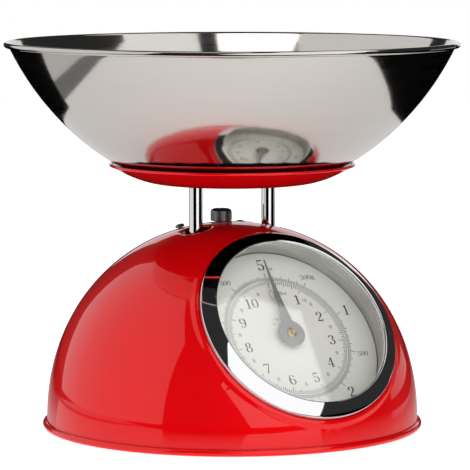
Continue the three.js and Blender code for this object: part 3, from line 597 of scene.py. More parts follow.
def ring_enamel(finishes):
    """Clean white ink of the ring between the two scales."""
    material, tree, shader = start_material("White Printing Ink", IOR=1.5)
    if tree:
        thin = grain(tree, (900, 900, 900))
        link(tree, tinted(tree, thin, linear("F4F3F1"), linear("FAFAF9")), shader, "Base Color")
        link(tree, between(tree, thin, 0.5, 0.6), shader, "Roughness")
    return material


def acrylic_lens(_finishes=None):
    """Clear acrylic sheet: what is behind it shows through, and both faces mirror the lights."""
    name = "Clear Acrylic"
    if name in bpy.data.materials:
        return bpy.data.materials[name]
    material = bpy.data.materials.new(name)
    material.use_nodes = True
    tree = material.node_tree
    tree.nodes.clear()
    clear = add_node(tree, "ShaderNodeBsdfTransparent", {"Color": linear("FBFCFB")})
    mirror = add_node(tree, "ShaderNodeBsdfGlossy", {"Color": linear("FFFFFF"), "Roughness": 0.02})
    facing = add_node(tree, "ShaderNodeLayerWeight", {"Blend": 0.5}).outputs["Facing"]
    steep = add_node(tree, "ShaderNodeMath", {0: facing, 1: 5.0}, operation="POWER").outputs[0]
    share = add_node(tree, "ShaderNodeMath", {0: steep, 1: 0.96, 2: 0.04},
                     operation="MULTIPLY_ADD").outputs[0]
    both = add_node(tree, "ShaderNodeMixShader", {0: share, 1: clear.outputs[0], 2: mirror.outputs[0]})
    add_node(tree, "ShaderNodeOutputMaterial", {"Surface": both.outputs[0]})
    return material


def dial_place(tree):
    """Coordinates turned into the dial's own frame, for patterns that follow the dial."""
    inverse = DIAL.inverted()
    where = add_node(tree, "ShaderNodeTexCoord").outputs["Object"]
    return add_node(tree, "ShaderNodeMapping",
                    {"Vector": where, "Location": inverse.translation * MM,
                     "Rotation": inverse.to_euler()}).outputs[0]


def brushed_aluminium(_finishes=None):
    """Aluminium strip as it comes from the mill: fine streaks run along it and blur what it
    mirrors into soft light and dark bands."""
    material, tree, shader = start_material("Mill Finish Aluminium", Metallic=1.0)
    if tree:
        streaks = grain(tree, (40, 40, 1900), 3.0, dial_place(tree))
        link(tree, tinted(tree, streaks, linear("A3A29F"), linear("E2E1DE")), shader, "Base Color")
        link(tree, between(tree, streaks, 0.24, 0.4), shader, "Roughness")
        bumped(tree, shader, streaks, 0.02, 0.4)
    return material


def pointer_paint(finishes):
    """Grey satin paint on a stamped aluminium pointer."""
    material, tree, shader = start_material("Grey Satin Paint", IOR=1.5)
    if tree:
        fine = grain(tree, (700, 700, 700))
        link(tree, tinted(tree, fine, shade(finishes.pointer, 0.95), shade(finishes.pointer, 1.06)),
             shader, "Base Color")
        link(tree, between(tree, fine, 0.32, 0.42), shader, "Roughness")
    return material


def turned_brass(_finishes=None):
    """Free-cutting brass, turned: warm yellow metal with fine tool marks."""
    material, tree, shader = start_material("Turned Brass", Metallic=1.0)
    if tree:
        marks = grain(tree, (900, 900, 900), 1.0)
        link(tree, tinted(tree, marks, linear("B88A3C"), linear("E3BC6A")), shader, "Base Color")
        link(tree, between(tree, marks, 0.2, 0.34), shader, "Roughness")
    return material


def blackened_steel(_finishes=None):
    """Steel blackened in oil: dark grey metal, worn lighter in patches that fall at random."""
    material, tree, shader = start_material("Oil-Blackened Steel", Metallic=1.0)
    if tree:
        worn = grain(tree, (600, 600, 600), 3.0)
        link(tree, tinted(tree, worn, linear("5C5B5E"), linear("9B9A9C")), shader, "Base Color")
        link(tree, between(tree, worn, 0.28, 0.44), shader, "Roughness")
        bumped(tree, shader, worn, 0.02)
    return material


def zinc_plate(_finishes=None):
    """Bright zinc plate on pressed steel: pale grey metal with faint clouds from the bath."""
    material, tree, shader = start_material("Zinc Plate", Metallic=1.0)
    if tree:
        cloud = grain(tree, (130, 130, 130), 3.0)
        link(tree, tinted(tree, cloud, linear("9EA2A6"), linear("C6C9CB")), shader, "Base Color")
        link(tree, between(tree, cloud, 0.3, 0.46), shader, "Roughness")
    return material


def moulded_rubber(_finishes=None):
    """Black moulded rubber: matt, with the fine grain of the mould."""
    material, tree, shader = start_material("Black Moulded Rubber", IOR=1.52)
    if tree:
        pores = grain(tree, (1800, 1800, 1800), 3.0)
        link(tree, tinted(tree, pores, linear("161617"), linear("26262A")), shader, "Base Color")
        link(tree, between(tree, pores, 0.7, 0.85), shader, "Roughness")
        bumped(tree, shader, pores, 0.03)
    return material


SLOT_FINISHES = {
    "red_paint": red_lacquer, "polished_stainless": polished_stainless,
    "chrome_plate": chrome_plate, "clear_lens": acrylic_lens, "dial_enamel": dial_enamel,
    "aluminium_strip": brushed_aluminium, "pointer_paint": pointer_paint, "brass": turned_brass,
    "blackened_steel": blackened_steel, "zinc_plated_steel": zinc_plate, "rubber": moulded_rubber,
}


# ---- The dome ---------------------------------------------------------------------------------

SPRINGING = 5.5              # height at which the dome's curve starts
BEAD_OUT = 0.5               # how far the bead's centre stands outside the wall
BEZEL_OUTER = 62.1
OPENING = BEZEL_OUTER + 0.35
SEAT = -1.1                  # height of the flat seat under the bezel, in the dial's frame
SEAT_INNER = 59.7
POST_HOLE, KNOB_HOLE, SCREW_HOLE = 9.0, 3.4, 2.1
TOP_SCREW_X, TOP_SCREW_Y, KNOB_Y = 21.0, 25.0, 12.6


class DomeShape:
    """The pressed surface of the dome as a rule, so that its mesh and its shading agree."""

    def __init__(self, body):
        self.radius, self.height = body.radius / MM, body.height / MM
        self.wall, self.bead = body.wall / MM, body.bead / MM
        self.shoulder, self.power = body.shoulder / MM, body.squareness
        self.bead_centre = (self.radius + BEAD_OUT, self.bead + 0.5)
        self.to_dial = np.array(DIAL.inverted())

    def pressed(self, points, inset=0.0):
        """How far points stand outside the plain dome, in millimetres."""
        across = np.hypot(points[:, 0], points[:, 1])
        up = np.maximum(points[:, 2] - SPRINGING, 0.0)
        grown_by = ((across / (self.radius - inset)) ** self.power
                    + (up / (self.height - inset)) ** self.power) ** (1 / self.power)
        return np.hypot(across, up) * (1 - 1 / np.maximum(grown_by, 1e-9))

    def raised(self, points):
        """How far the pressing stands above the plain dome: up round the dial, down at the holes."""
        local = points @ self.to_dial[:3, :3].T + self.to_dial[:3, 3]
        crest, reach = OPENING + 1.7, 2.3
        away = (np.hypot(local[:, 0], local[:, 1]) - crest) / reach
        near_dial = (np.abs(away) < 1) & (local[:, 2] > -15)
        lift = np.where(near_dial, self.shoulder * np.cos(away * np.pi / 2) ** 2, 0.0)
        for x in (-POST_X, POST_X):
            edge = (np.hypot(points[:, 0] - x, points[:, 1]) - POST_HOLE) / 1.8
            dip = np.where((edge < 1) & (points[:, 2] > 60), -0.75 * (1 - np.maximum(edge, 0)) ** 2, 0)
            lift = lift + dip
        return lift

    def outside(self, points):
        """Zero on the outer surface, growing outwards."""
        return self.pressed(points) - self.raised(points)

    def inside(self, points):
        """Zero on the inner surface, growing inwards."""
        return -self.pressed(points, self.wall)

    def beaded(self, points):
        """Zero on the rolled bead, growing outwards."""
        across = np.hypot(points[:, 0], points[:, 1])
        return np.hypot(across - self.bead_centre[0], points[:, 2] - self.bead_centre[1]) - self.bead

    def outline(self):
        """The wall's section, from the bead over the top and back down inside."""
        def curve(radius, height, steps):
            angles = [math.pi / 2 * i / steps for i in range(steps + 1)]
            return [(radius * max(math.cos(a), 0.0) ** (2 / self.power),
                     SPRINGING + height * math.sin(a) ** (2 / self.power)) for a in angles]
        outer = curve(self.radius, self.height, 72)
        inner = curve(self.radius - self.wall, self.height - self.wall, 40)[::-1]
        foot = math.degrees(math.acos(-BEAD_OUT / self.bead))
        inner_foot = -math.degrees(math.acos(-(BEAD_OUT + self.wall) / self.bead)) + 360
        bead = arc(self.bead_centre, self.bead, inner_foot - 360, foot, 20)
        return [*bead, *outer[:-1], (0.0, outer[-1][1]), (0.0, inner[0][1]), *inner[1:], bead[0]]


def slopes(rule, points):
    """Unit directions in which a surface's rule grows."""
    step = 0.002
    slope = np.stack([rule(points + axis) - rule(points - axis) for axis in np.eye(3) * step], 1)
    return slope / np.maximum(np.linalg.norm(slope, axis=1, keepdims=True), 1e-12)


def points_of(mesh):
    """A mesh's vertices as an array."""
    flat = np.zeros(len(mesh.vertices) * 3)
    mesh.vertices.foreach_get("co", flat)
    return flat.reshape(-1, 3)


def refine_near_edges(mesh, shape):
    """Splits the faces round the dial's opening and the post holes, then presses the points there
    on to the true surface."""
    solid = bmesh.new()
    solid.from_mesh(mesh)
    for _ in range(2):
        solid.verts.ensure_lookup_table()
        where = np.array([v.co for v in solid.verts])
        local = where @ shape.to_dial[:3, :3].T + shape.to_dial[:3, 3]
        ring = np.hypot(local[:, 0], local[:, 1])
        near = (np.abs(ring - OPENING - 1.5) < 4.5) & (local[:, 2] > -15)
        for x in (-POST_X, POST_X):
            near |= (np.abs(np.hypot(where[:, 0] - x, where[:, 1]) - POST_HOLE) < 3) & (where[:, 2] > 60)
        near &= np.abs(shape.pressed(where)) < 0.1
        wanted = {v for v, close in zip(solid.verts, near) if close}
        edges = [e for e in solid.edges if e.verts[0] in wanted and e.verts[1] in wanted]
        bmesh.ops.subdivide_edges(solid, edges=edges, cuts=1, use_grid_fill=True)
    solid.to_mesh(mesh)
    solid.free()
    where = points_of(mesh)
    outer = np.abs(shape.pressed(where)) < 0.2
    outer &= where[:, 2] > SPRINGING + 0.5
    moving = where[outer]
    for _ in range(4):
        moving -= slopes(shape.outside, moving) * shape.outside(moving)[:, None]
    where[outer] = moving
    mesh.vertices.foreach_set("co", where.ravel())
    mesh.update()


def shade_by_rules(mesh, rules):
    """Gives faces that lie on a known surface that surface's own normals, so that reflections run
    smoothly past every cut."""
    where = points_of(mesh)
    corners = np.zeros(len(mesh.loops), np.int64)
    mesh.loops.foreach_get("vertex_index", corners)
    faces = np.zeros(len(mesh.polygons), np.int64)
    mesh.polygons.foreach_get("loop_total", faces)
    owner = np.repeat(np.arange(len(faces)), faces)
    flat = np.zeros(len(faces) * 3)
    mesh.polygons.foreach_get("normal", flat)
    normals = flat.reshape(-1, 3)[owner]
    settled = np.zeros(len(faces), bool)
    for rule in rules:
        on = np.abs(rule(where)) < 0.03
        direction = slopes(rule, where)[corners]
        agrees = np.einsum("ij,ij->i", direction, normals) > 0.75
        bad = np.bincount(owner, weights=~(on[corners] & agrees), minlength=len(faces)) > 0
        chosen = ~bad & ~settled
        settled |= chosen
        normals = np.where(chosen[owner][:, None], direction, normals)
    mesh.shade_smooth()
    mesh.normals_split_custom_set([tuple(n) for n in normals])


def top_screw_places(body):
    """Where the two screws go through the dome, with the direction each stands in."""
    shape = DomeShape(body)
    points = np.array([(x, TOP_SCREW_Y, DOME_TOP) for x in (-TOP_SCREW_X, TOP_SCREW_X)])
    for _ in range(12):
        points[:, 2] -= shape.pressed(points)
    return [(Vector(p), Vector(n)) for p, n in zip(points, slopes(shape.pressed, points))]


class ScaleBody(bpy.types.Operator):
    """Build the red domed body"""

    bl_idname = "kitchen_scale.body"
    bl_label = "Domed Body"

    def execute(self, context):
        body = shape_settings(context, "body")
        paint = red_lacquer(shape_settings(context, "finishes"))
        shape = DomeShape(body)
        mesh = turned(shape.outline(), paint)
        refine_near_edges(mesh, shape)
        window = turned([(0, SEAT), (OPENING, SEAT), (OPENING, 60), (0, 60)], paint)
        askew = DIAL @ Matrix.Rotation(math.radians(0.6), 4, "Z")     # keeps cuts off the seams
        window.transform(askew)
        seat = turned([(SEAT_INNER, SEAT - 1), (OPENING, SEAT - 1), (OPENING, SEAT - 0.02),
                       (SEAT_INNER, SEAT - 0.02), (SEAT_INNER, SEAT - 1)], paint)
        seat.transform(askew)
        bore = turned([(0, -12), (SEAT_INNER, -12), (SEAT_INNER, SEAT + 0.5), (0, SEAT + 0.5)], paint)
        bore.transform(askew)
        holes = []
        for x, y, radius in ((-POST_X, 0, POST_HOLE), (POST_X, 0, POST_HOLE), (0, KNOB_Y, KNOB_HOLE)):
            hole = turned([(0, 90), (radius, 90), (radius, 130), (0, 130)], paint, SMALL_STEPS * 2)
            hole.transform(Matrix.Translation((x, y, 0)))
            holes.append(hole)
        for point, direction in top_screw_places(body):
            hole = turned([(0, -5), (SCREW_HOLE, -5), (SCREW_HOLE, 5), (0, 5)], paint, 24)
            facing = direction.to_track_quat("Z", "Y").to_matrix().to_4x4()
            hole.transform(Matrix.Translation(point) @ facing)
            holes.append(hole)
        mesh = merged(combined(mesh, "DIFFERENCE", bore, window, *holes), seat)
        shade_by_rules(mesh, [shape.outside, shape.inside, shape.beaded])
        add_piece("body_dome", mesh, "housing", ["dome"], sharp=None)
        return {"FINISHED"}


# ---- Dish, bowl and posts ---------------------------------------------------------------------


class ScaleDish(bpy.types.Operator):
    """Build the red dish that carries the bowl"""

    bl_idname = "kitchen_scale.dish"
    bl_label = "Dish"

    def execute(self, context):
        sizes = shape_settings(context, "bowl")
        wall, lip = sizes.dish_wall / MM, sizes.dish_lip / MM
        flat = bowl_wall(0)[0] - 5
        rim_r, rim_z = DISH_HIGH.x - 0.4, DISH_HIGH.z - 1.2
        control = flat + (rim_r - flat) * 0.4
        shares = [i / 28 for i in range(29)]
        under = [((1 - t) ** 2 * flat + 2 * t * (1 - t) * control + t * t * rim_r,
                  DISH_LOW.z + t * t * (rim_z - DISH_LOW.z)) for t in shares]
        edge = arc((rim_r - 0.4, rim_z + 0.3), lip, -62, 195, 14)
        above = [(r - 0.25, z + wall) for r, z in under[:-2]][::-1]
        outline = [(0, DISH_LOW.z), *under[:-1], *edge, *above, (0, DISH_LOW.z + wall)]
        mesh = turned(outline, red_lacquer(shape_settings(context, "finishes")))
        holes = []
        for x in (-POST_X, POST_X):
            hole = turned([(0, DISH_LOW.z - 1), (3.1, DISH_LOW.z - 1),
                           (4.2, DISH_LOW.z + wall + 0.1), (0, DISH_LOW.z + wall + 0.1)],
                          mesh.materials[0], SMALL_STEPS)
            hole.transform(Matrix.Translation((x, 0, 0)))
            holes.append(hole)
        mesh = combined(mesh, "DIFFERENCE", *holes)
        add_piece("bowl_dish", mesh, "load_carrier", ["dish"])
        return {"FINISHED"}


BOWL_RIM, WALL_HEIGHT = 131.9, 80.0
OVAL_CENTRE, OVAL_REACH = 2.017, 2.128       # of the wall's oval, in heights of the wall
OVAL_AT_RIM = 0.8784                         # the oval's width at the rim, as a share of its widest


def bowl_wall(share):
    """Radius and height of the bowl's outer wall, at a share of its height."""
    lean = (OVAL_CENTRE - share) / OVAL_REACH
    return BOWL_RIM / OVAL_AT_RIM * math.sqrt(1 - lean * lean), BOWL_LOW.z + share * WALL_HEIGHT


class ScaleBowl(bpy.types.Operator):
    """Build the polished bowl"""

    bl_idname = "kitchen_scale.bowl"
    bl_label = "Bowl"

    def execute(self, context):
        sizes = shape_settings(context, "bowl")
        wall, bead = sizes.wall / MM, sizes.bead / MM
        steps = 60
        corner = 0.035                      # share of the height taken by the rounded foot
        outer = [bowl_wall(corner + (1 - corner) * i / steps) for i in range(steps)]
        foot_r = bowl_wall(0)[0] - 3.0
        low = BOWL_LOW.z
        bend = [(1 - t) ** 2 * foot_r + 2 * t * (1 - t) * (foot_r + 2.6) + t * t * outer[0][0]
                for t in (0.25, 0.5, 0.75)]
        foot = [(foot_r, low), *((r, low + (outer[0][1] - low) * t * t)
                                 for r, t in zip(bend, (0.25, 0.5, 0.75)))]
        outside = [*foot, *outer]
        inside = []
        for i in range(1, len(outside) - 1):
            (r0, z0), (r1, z1) = outside[i - 1], outside[i + 1]
            run = math.hypot(r1 - r0, z1 - z0)
            inside.append((outside[i][0] - (z1 - z0) / run * wall, outside[i][1] + (r1 - r0) / run * wall))
        rim = arc((BOWL_HIGH.x + 0.2 - bead, BOWL_HIGH.z - bead), bead, -140, 161, 24)
        outline = [(0, low), *outside, *rim, *inside[::-1], (foot_r - 0.5, low + wall), (0, low + wall)]
        mesh = turned(outline, polished_stainless(shape_settings(context, "finishes")), 256)
        add_piece("weighing_bowl", mesh, "bowl", ["bowl"])
        return {"FINISHED"}


class ScalePosts(bpy.types.Operator):
    """Build the two plated posts"""

    bl_idname = "kitchen_scale.posts"
    bl_label = "Posts"

    def execute(self, context):
        low, high = box("right_post")
        radius = (high.x - low.x) / 2
        chrome = chrome_plate(shape_settings(context, "finishes"))
        top, bore, sunk = high.z - low.z, 2.2, 3.5        # threaded bores; the upper is countersunk
        outline = [(0, 12), (bore, 12), (bore, 0.0), (radius - 0.4, 0.0), (radius, 0.4),
                   (radius, top - 0.4), (radius - 0.4, top), (sunk, top), (bore, top - 2.2),
                   (bore, top - 14), (0, top - 14)]
        post = turned(outline, chrome, SMALL_STEPS)
        places = [((x, 0, low.z), (0, 0, 1)) for x in (-POST_X, POST_X)]
        add_piece("carrier_posts", copies(post, places, chrome), "load_carrier",
                  ["left_post", "right_post"])
        return {"FINISHED"}


# ---- The dial ---------------------------------------------------------------------------------

DIAL_DEPTH = 13.0            # from the bezel's seat down to the face
DIAL_RADIUS = 57.4
POUNDS, OUNCES = 2.20462, 16                 # pounds in a kilogram, ounces in a pound


class ScaleBezel(bpy.types.Operator):
    """Build the plated bezel"""

    bl_idname = "kitchen_scale.bezel"
    bl_label = "Bezel"

    def execute(self, context):
        height, inner, outer = 6.2, 53.5, BEZEL_OUTER
        crown = []
        edge = arc((outer - 0.6, 1.5), 0.6, 0, 56, 5)
        (start_r, start_z), (end_r, end_z) = edge[-1], (inner + 0.9, height)
        for i in range(1, 17):
            t = i / 16
            bulge = 4 * t * (1 - t) * 0.18
            crown.append((start_r + (end_r - start_r) * t + bulge * 0.49,
                          start_z + (end_z - start_z) * t + bulge * 0.87))
        crown = [*edge, *crown]
        lip = [(inner + 0.5, height - 0.1), (inner + 0.1, height - 0.5), (inner, height - 0.9),
               (inner, LENS_TOP + 0.3), (inner + 0.6, LENS_TOP + 0.3), (inner + 0.6, height - 1.0)]
        back = [(r - 0.35, z - 0.8) for r, z in crown[1:-1]][::-1]
        outline = [(outer, -0.8), *crown, *lip, *back, (outer - 0.6, 0.2), (outer - 0.6, -0.8),
                   (outer, -0.8)]
        mesh = turned(outline, chrome_plate(shape_settings(context, "finishes")), 256)
        add_piece("dial_bezel", mesh, "housing", ["bezel"], DIAL)
        return {"FINISHED"}


class ScaleLens(bpy.types.Operator):
    """Build the clear lens and the strip that lines the dial's well"""

    bl_idname = "kitchen_scale.lens"
    bl_label = "Lens and Lining"

    def execute(self, context):
        finishes = shape_settings(context, "finishes")
        low, top = LENS_TOP - LENS_THICKNESS, LENS_TOP
        lens = turned([(0, low), (DIAL_RADIUS - 0.2, low), (DIAL_RADIUS, low + 0.2),
                       (DIAL_RADIUS, top - 0.2), (DIAL_RADIUS - 0.2, top), (0, top)],
                      acrylic_lens(finishes))
        add_piece("dial_lens", lens, "housing", ["lens"], DIAL)
        outer, wall = 58.3, 0.6
        foot, head = -DIAL_DEPTH - 0.8, low - 0.3
        strip = brushed_aluminium(finishes)
        ring = turned([(outer - wall, foot), (outer, foot), (outer, head), (outer - wall, head),
                       (outer - wall, foot)], strip)
        lap_start, lap_end = 38.5, 46.5      # degrees clockwise from the top: the strip's lapped ends
        angles = [math.radians(90 - lap_start - (lap_end - lap_start) * i / 10) for i in range(11)]
        inner_r, outer_r = outer - 1.0, outer - wall + 0.05
        plan = ([(outer_r * math.cos(a), outer_r * math.sin(a)) for a in angles]
                + [(inner_r * math.cos(a), inner_r * math.sin(a)) for a in angles[::-1]])
        lap = prism(plan, foot + 1.2, head - 0.5, strip)
        add_piece("dial_lining", merged(ring, lap), "housing", ["dial_liner"], DIAL)
        return {"FINISHED"}


# A serif figure is drawn in a box 0.6 wide and 1 high, from lines (x0, y0, x1, y1, width, end
# width), ovals (centre x, y, half width, half height, from, to: degrees clockwise from the top)
# and round dots (x, y, radius).
GLYPHS = {
    "0": ([], [(0.30, 0.50, 0.23, 0.47, 0, 360)], []),
    "1": ([(0.32, 0.0, 0.32, 1.0, 0.13, 0.13), (0.12, 0.80, 0.32, 0.97, 0.03, 0.08),
           (0.12, 0.025, 0.52, 0.025, 0.05, 0.05)], [], []),
    "2": ([(0.485, 0.62, 0.09, 0.09, 0.12, 0.05), (0.06, 0.06, 0.54, 0.06, 0.12, 0.12),
           (0.52, 0.06, 0.56, 0.24, 0.05, 0.03)], [(0.29, 0.73, 0.205, 0.24, 285, 478)],
          [(0.13, 0.73, 0.075)]),
    "3": ([], [(0.27, 0.745, 0.185, 0.225, 300, 535), (0.27, 0.27, 0.225, 0.25, 0, 245)],
          [(0.13, 0.80, 0.07), (0.11, 0.19, 0.075)]),
    "4": ([(0.40, 0.0, 0.40, 1.0, 0.12, 0.12), (0.38, 0.97, 0.05, 0.30, 0.045, 0.045),
           (0.03, 0.285, 0.59, 0.285, 0.05, 0.05), (0.25, 0.025, 0.55, 0.025, 0.05, 0.05)], [], []),
    "5": ([(0.14, 0.94, 0.50, 0.94, 0.11, 0.11), (0.145, 0.97, 0.125, 0.52, 0.045, 0.045)],
          [(0.28, 0.30, 0.225, 0.28, 318, 608)], [(0.115, 0.16, 0.075)]),
    "6": ([], [(0.30, 0.30, 0.225, 0.28, 0, 360), (0.37, 0.48, 0.29, 0.49, 215, 370)],
          [(0.47, 0.84, 0.07)]),
    "7": ([(0.07, 0.94, 0.54, 0.94, 0.11, 0.11), (0.53, 0.95, 0.26, 0.0, 0.045, 0.13),
           (0.085, 0.96, 0.065, 0.76, 0.045, 0.03)], [], []),
    "8": ([], [(0.30, 0.745, 0.175, 0.22, 0, 360), (0.30, 0.27, 0.22, 0.25, 0, 360)], []),
    "9": ([], [(0.30, 0.70, 0.225, 0.28, 0, 360), (0.23, 0.52, 0.29, 0.49, 35, 190)],
          [(0.13, 0.16, 0.07)]),
    "k": ([(0.13, 0.0, 0.13, 1.0, 0.10, 0.10), (0.47, 0.62, 0.16, 0.30, 0.04, 0.04),
           (0.26, 0.40, 0.52, 0.0, 0.10, 0.10), (0.03, 0.02, 0.24, 0.02, 0.04, 0.04)], [], []),
    "g": ([(0.36, 0.58, 0.52, 0.64, 0.05, 0.05)],
          [(0.27, 0.44, 0.17, 0.21, 0, 360), (0.28, 0.02, 0.21, 0.17, 0, 360)], []),
    "o": ([], [(0.28, 0.30, 0.21, 0.29, 0, 360)], []),
    "z": ([(0.07, 0.58, 0.49, 0.58, 0.06, 0.06), (0.46, 0.58, 0.09, 0.04, 0.09, 0.09),
           (0.07, 0.03, 0.51, 0.03, 0.06, 0.06)], [], []),
    "l": ([(0.28, 0.0, 0.28, 1.0, 0.10, 0.10), (0.15, 0.02, 0.41, 0.02, 0.04, 0.04)], [], []),
    "b": ([(0.12, 0.0, 0.12, 1.0, 0.10, 0.10)], [(0.29, 0.30, 0.19, 0.29, 0, 360)], []),
    "x": ([(0.10, 0.12, 0.48, 0.50, 0.06, 0.06), (0.10, 0.50, 0.48, 0.12, 0.06, 0.06)], [], []),
    "L": ([(0.16, 0.0, 0.16, 1.0, 0.12, 0.12), (0.05, 0.025, 0.54, 0.025, 0.05, 0.05),
           (0.53, 0.0, 0.55, 0.26, 0.05, 0.03), (0.05, 0.975, 0.28, 0.975, 0.05, 0.05)], [], []),
    "B": ([(0.16, 0.0, 0.16, 1.0, 0.12, 0.12), (0.05, 0.975, 0.32, 0.975, 0.05, 0.05),
           (0.05, 0.025, 0.32, 0.025, 0.05, 0.05), (0.2, 0.52, 0.34, 0.52, 0.04, 0.04)],
          [(0.31, 0.745, 0.165, 0.23, 0, 180), (0.31, 0.27, 0.215, 0.25, 0, 180)], []),
    " ": ([], [], []),
}


def ribbon(points, widths, closed=False):
    """Quads of a flat band of changing width along a line, as corner points."""
    left, right = [], []
    count = len(points)
    for i, ((x, y), width) in enumerate(zip(points, widths)):
        back = points[(i - 1) % count] if closed or i else points[i]
        ahead = points[(i + 1) % count] if closed or i < count - 1 else points[i]
        run = math.hypot(ahead[0] - back[0], ahead[1] - back[1]) or 1.0
        nx, ny = -(ahead[1] - back[1]) / run * width / 2, (ahead[0] - back[0]) / run * width / 2
        left.append((x + nx, y + ny))
        right.append((x - nx, y - ny))
    return left, right


def figure_bands(character, thin=0.035, thick=0.13):
    """The bands and dots of one character, each as its two sides, and whether it is a loop."""
    lines, ovals, dots = GLYPHS[character]
    bands = [(*ribbon([(x0, y0), (x1, y1)], [w0, w1]), False) for x0, y0, x1, y1, w0, w1 in lines]
    for cx, cy, rx, ry, start, stop in ovals:
        steps = max(6, round((stop - start) / 18))
        loop = stop - start == 360
        angles = [math.radians(start + (stop - start) * i / steps) for i in range(steps + (not loop))]
        points = [(cx + rx * math.sin(a), cy + ry * math.cos(a)) for a in angles]
        widths = [thin + (thick - thin) * abs(math.sin(a)) ** 1.5 for a in angles]
        bands.append((*ribbon(points, widths, loop), loop))
    for cx, cy, radius in dots:
        ring = [(cx + radius * math.cos(a), cy + radius * math.sin(a))
                for a in (math.tau * i / 10 for i in range(10))]
        bands.append((ring[:6], [ring[0], *ring[:5:-1], ring[5]][:6], False))
    return bands


def lettering(text, height, centre, outline_only=False):
    """Points and faces of flat bands that spell a text, upright and centred on a point."""
    advance, broad, points, faces = 0.76, 1.2, [], []
    start = centre[0] - height * (advance * len(text) - 0.04) / 2
    for place, character in enumerate(text):
        origin = (start + height * advance * place, centre[1] - height / 2)
        thick = 0.035 if outline_only else 0.13
        for left, right, loop in figure_bands(character, thick=thick):
            first, count = len(points), len(left)
            points += [(origin[0] + x * height * broad, origin[1] + y * height)
                       for x, y in (*left, *right)]
            for i in range(count if loop else count - 1):
                j = (i + 1) % count
                faces.append([first + i, first + j, first + count + j, first + count + i])
    return points, faces


def dial_point(degrees, radius):
    """A point on the dial, clockwise from the top."""
    angle = math.radians(degrees)
    return radius * math.sin(angle), radius * math.cos(angle)


def numerals(dial):
    """Every figure and word on the dial, as text, height and centre."""
    kilo, pound = 360 / dial.capacity, 360 / (dial.capacity * POUNDS)
    words = [("5", 7.2, dial_point(-0.5, 49.3)), ("kg", 2.3, (5.2, 46.9))]
    for whole in range(1, round(dial.capacity)):
        words.append((str(whole), 6.6, dial_point(kilo * whole, 48.2)))
    for whole in range(round(dial.capacity)):
        text = "500g" if whole == 0 else "500"
        words.append((text, 3.2, dial_point(kilo * (whole + 0.5), 48.2)))
    for whole in range(1, 11):
        words.append((str(whole), 6.3, dial_point(pound * whole, 28.9)))
    for whole in range(11):
        text, radius = ("8oz", 30.6) if whole == 0 else ("8", 31.4)
        words.append((text, 2.4, dial_point(pound * (whole + 0.5) - (1.5 if whole == 0 else 0), radius)))
    beside = dial_point(pound, 28.9)
    words.append(("lb", 2.3, (beside[0] + 4.6, beside[1] - 0.6)))
    words += [("5 kg x 20 g", 1.55, (0, 12.6)), ("11 lb x 1 oz", 1.55, (0, 9.4))]
    return words


def printed_mesh(words, low, high, material):
    """Thin closed plates of ink for a list of words."""
    solid = bmesh.new()
    for text, height, centre, *outlined in words:
        points, faces = lettering(text, height, centre, bool(outlined))
        corners = [solid.verts.new((x, y, low)) for x, y in points]
        for face in faces:
            solid.faces.new([corners[i] for i in face])
    bmesh.ops.remove_doubles(solid, verts=solid.verts, dist=1e-4)
    flat = list(solid.faces)
    for face in flat:
        if face.normal.z < 0 or face.calc_area() == 0:
            face.normal_flip()
    raised = bmesh.ops.extrude_face_region(solid, geom=flat)
    bmesh.ops.translate(solid, vec=(0, 0, high - low),
                        verts=[v for v in raised["geom"] if isinstance(v, bmesh.types.BMVert)])
    bmesh.ops.recalc_face_normals(solid, faces=solid.faces)
    mesh = bpy.data.meshes.new("print")
    solid.to_mesh(mesh)
    solid.free()
    mesh.materials.append(material)
    return mesh


class ScaleDialFace(bpy.types.Operator):
    """Build the dial's face with its two printed scales"""

    bl_idname = "kitchen_scale.dial_face"
    bl_label = "Dial Face"

    def execute(self, context):
        finishes, dial = shape_settings(context, "finishes"), shape_settings(context, "dial")
        front = -DIAL_DEPTH
        hole = 3.0
        plate = turned([(hole, front - 0.8), (DIAL_RADIUS, front - 0.8), (DIAL_RADIUS, front),
                        (hole, front), (hole, front - 0.8)], dial_enamel(finishes))
        add_piece("dial_face", plate, "housing", ["dial_plate"], DIAL)
        ink = printing_ink(finishes)
        low, high = front + 0.005, front + dial.ink / MM
        ring, width, half = dial.ring / MM, dial.tick / MM, 0.42
        common = {"Width": width, "Thickness": high - low, "Material": ink}
        kilo_ticks = grown(
            tick_tree, chain([]), Count=round(dial.capacity * dial.divisions),
            Step=math.tau / round(dial.capacity * dial.divisions), Radius=ring + half, Outward=1.0,
            Short=2.0, Middle=3.1, Long=4.8, Middle_Every=5, Long_Every=25, **common)
        ounces = dial.capacity * POUNDS * OUNCES
        ounce_ticks = grown(
            tick_tree, chain([]), Count=math.floor(ounces), Step=math.tau / ounces,
            Radius=ring - half, Outward=-1.0, Short=2.0, Middle=2.9, Long=4.2, Middle_Every=4,
            Long_Every=16, **common)
        for ticks in (kilo_ticks, ounce_ticks):
            ticks.transform(Matrix.Translation((0, 0, (low + high) / 2)))
        rings = [turned([(r - w, low), (r + w, low), (r + w, high), (r - w, high), (r - w, low)], ink)
                 for r, w in ((ring + half, 0.10), (ring - half, 0.10))]
        words = printed_mesh([*numerals(dial), ("0", 6.3, dial_point(0, 28.9), True)], low, high, ink)
        scales = merged(kilo_ticks, ounce_ticks, *rings, words)
        add_piece("dial_print", scales, "housing", [], DIAL)
        pale = turned([(ring - half + 0.12, low), (ring + half - 0.12, low),
                       (ring + half - 0.12, high), (ring - half + 0.12, high),
                       (ring - half + 0.12, low)], ring_enamel(finishes))
        add_piece("dial_ring", pale, "housing", [], DIAL)
        return {"FINISHED"}


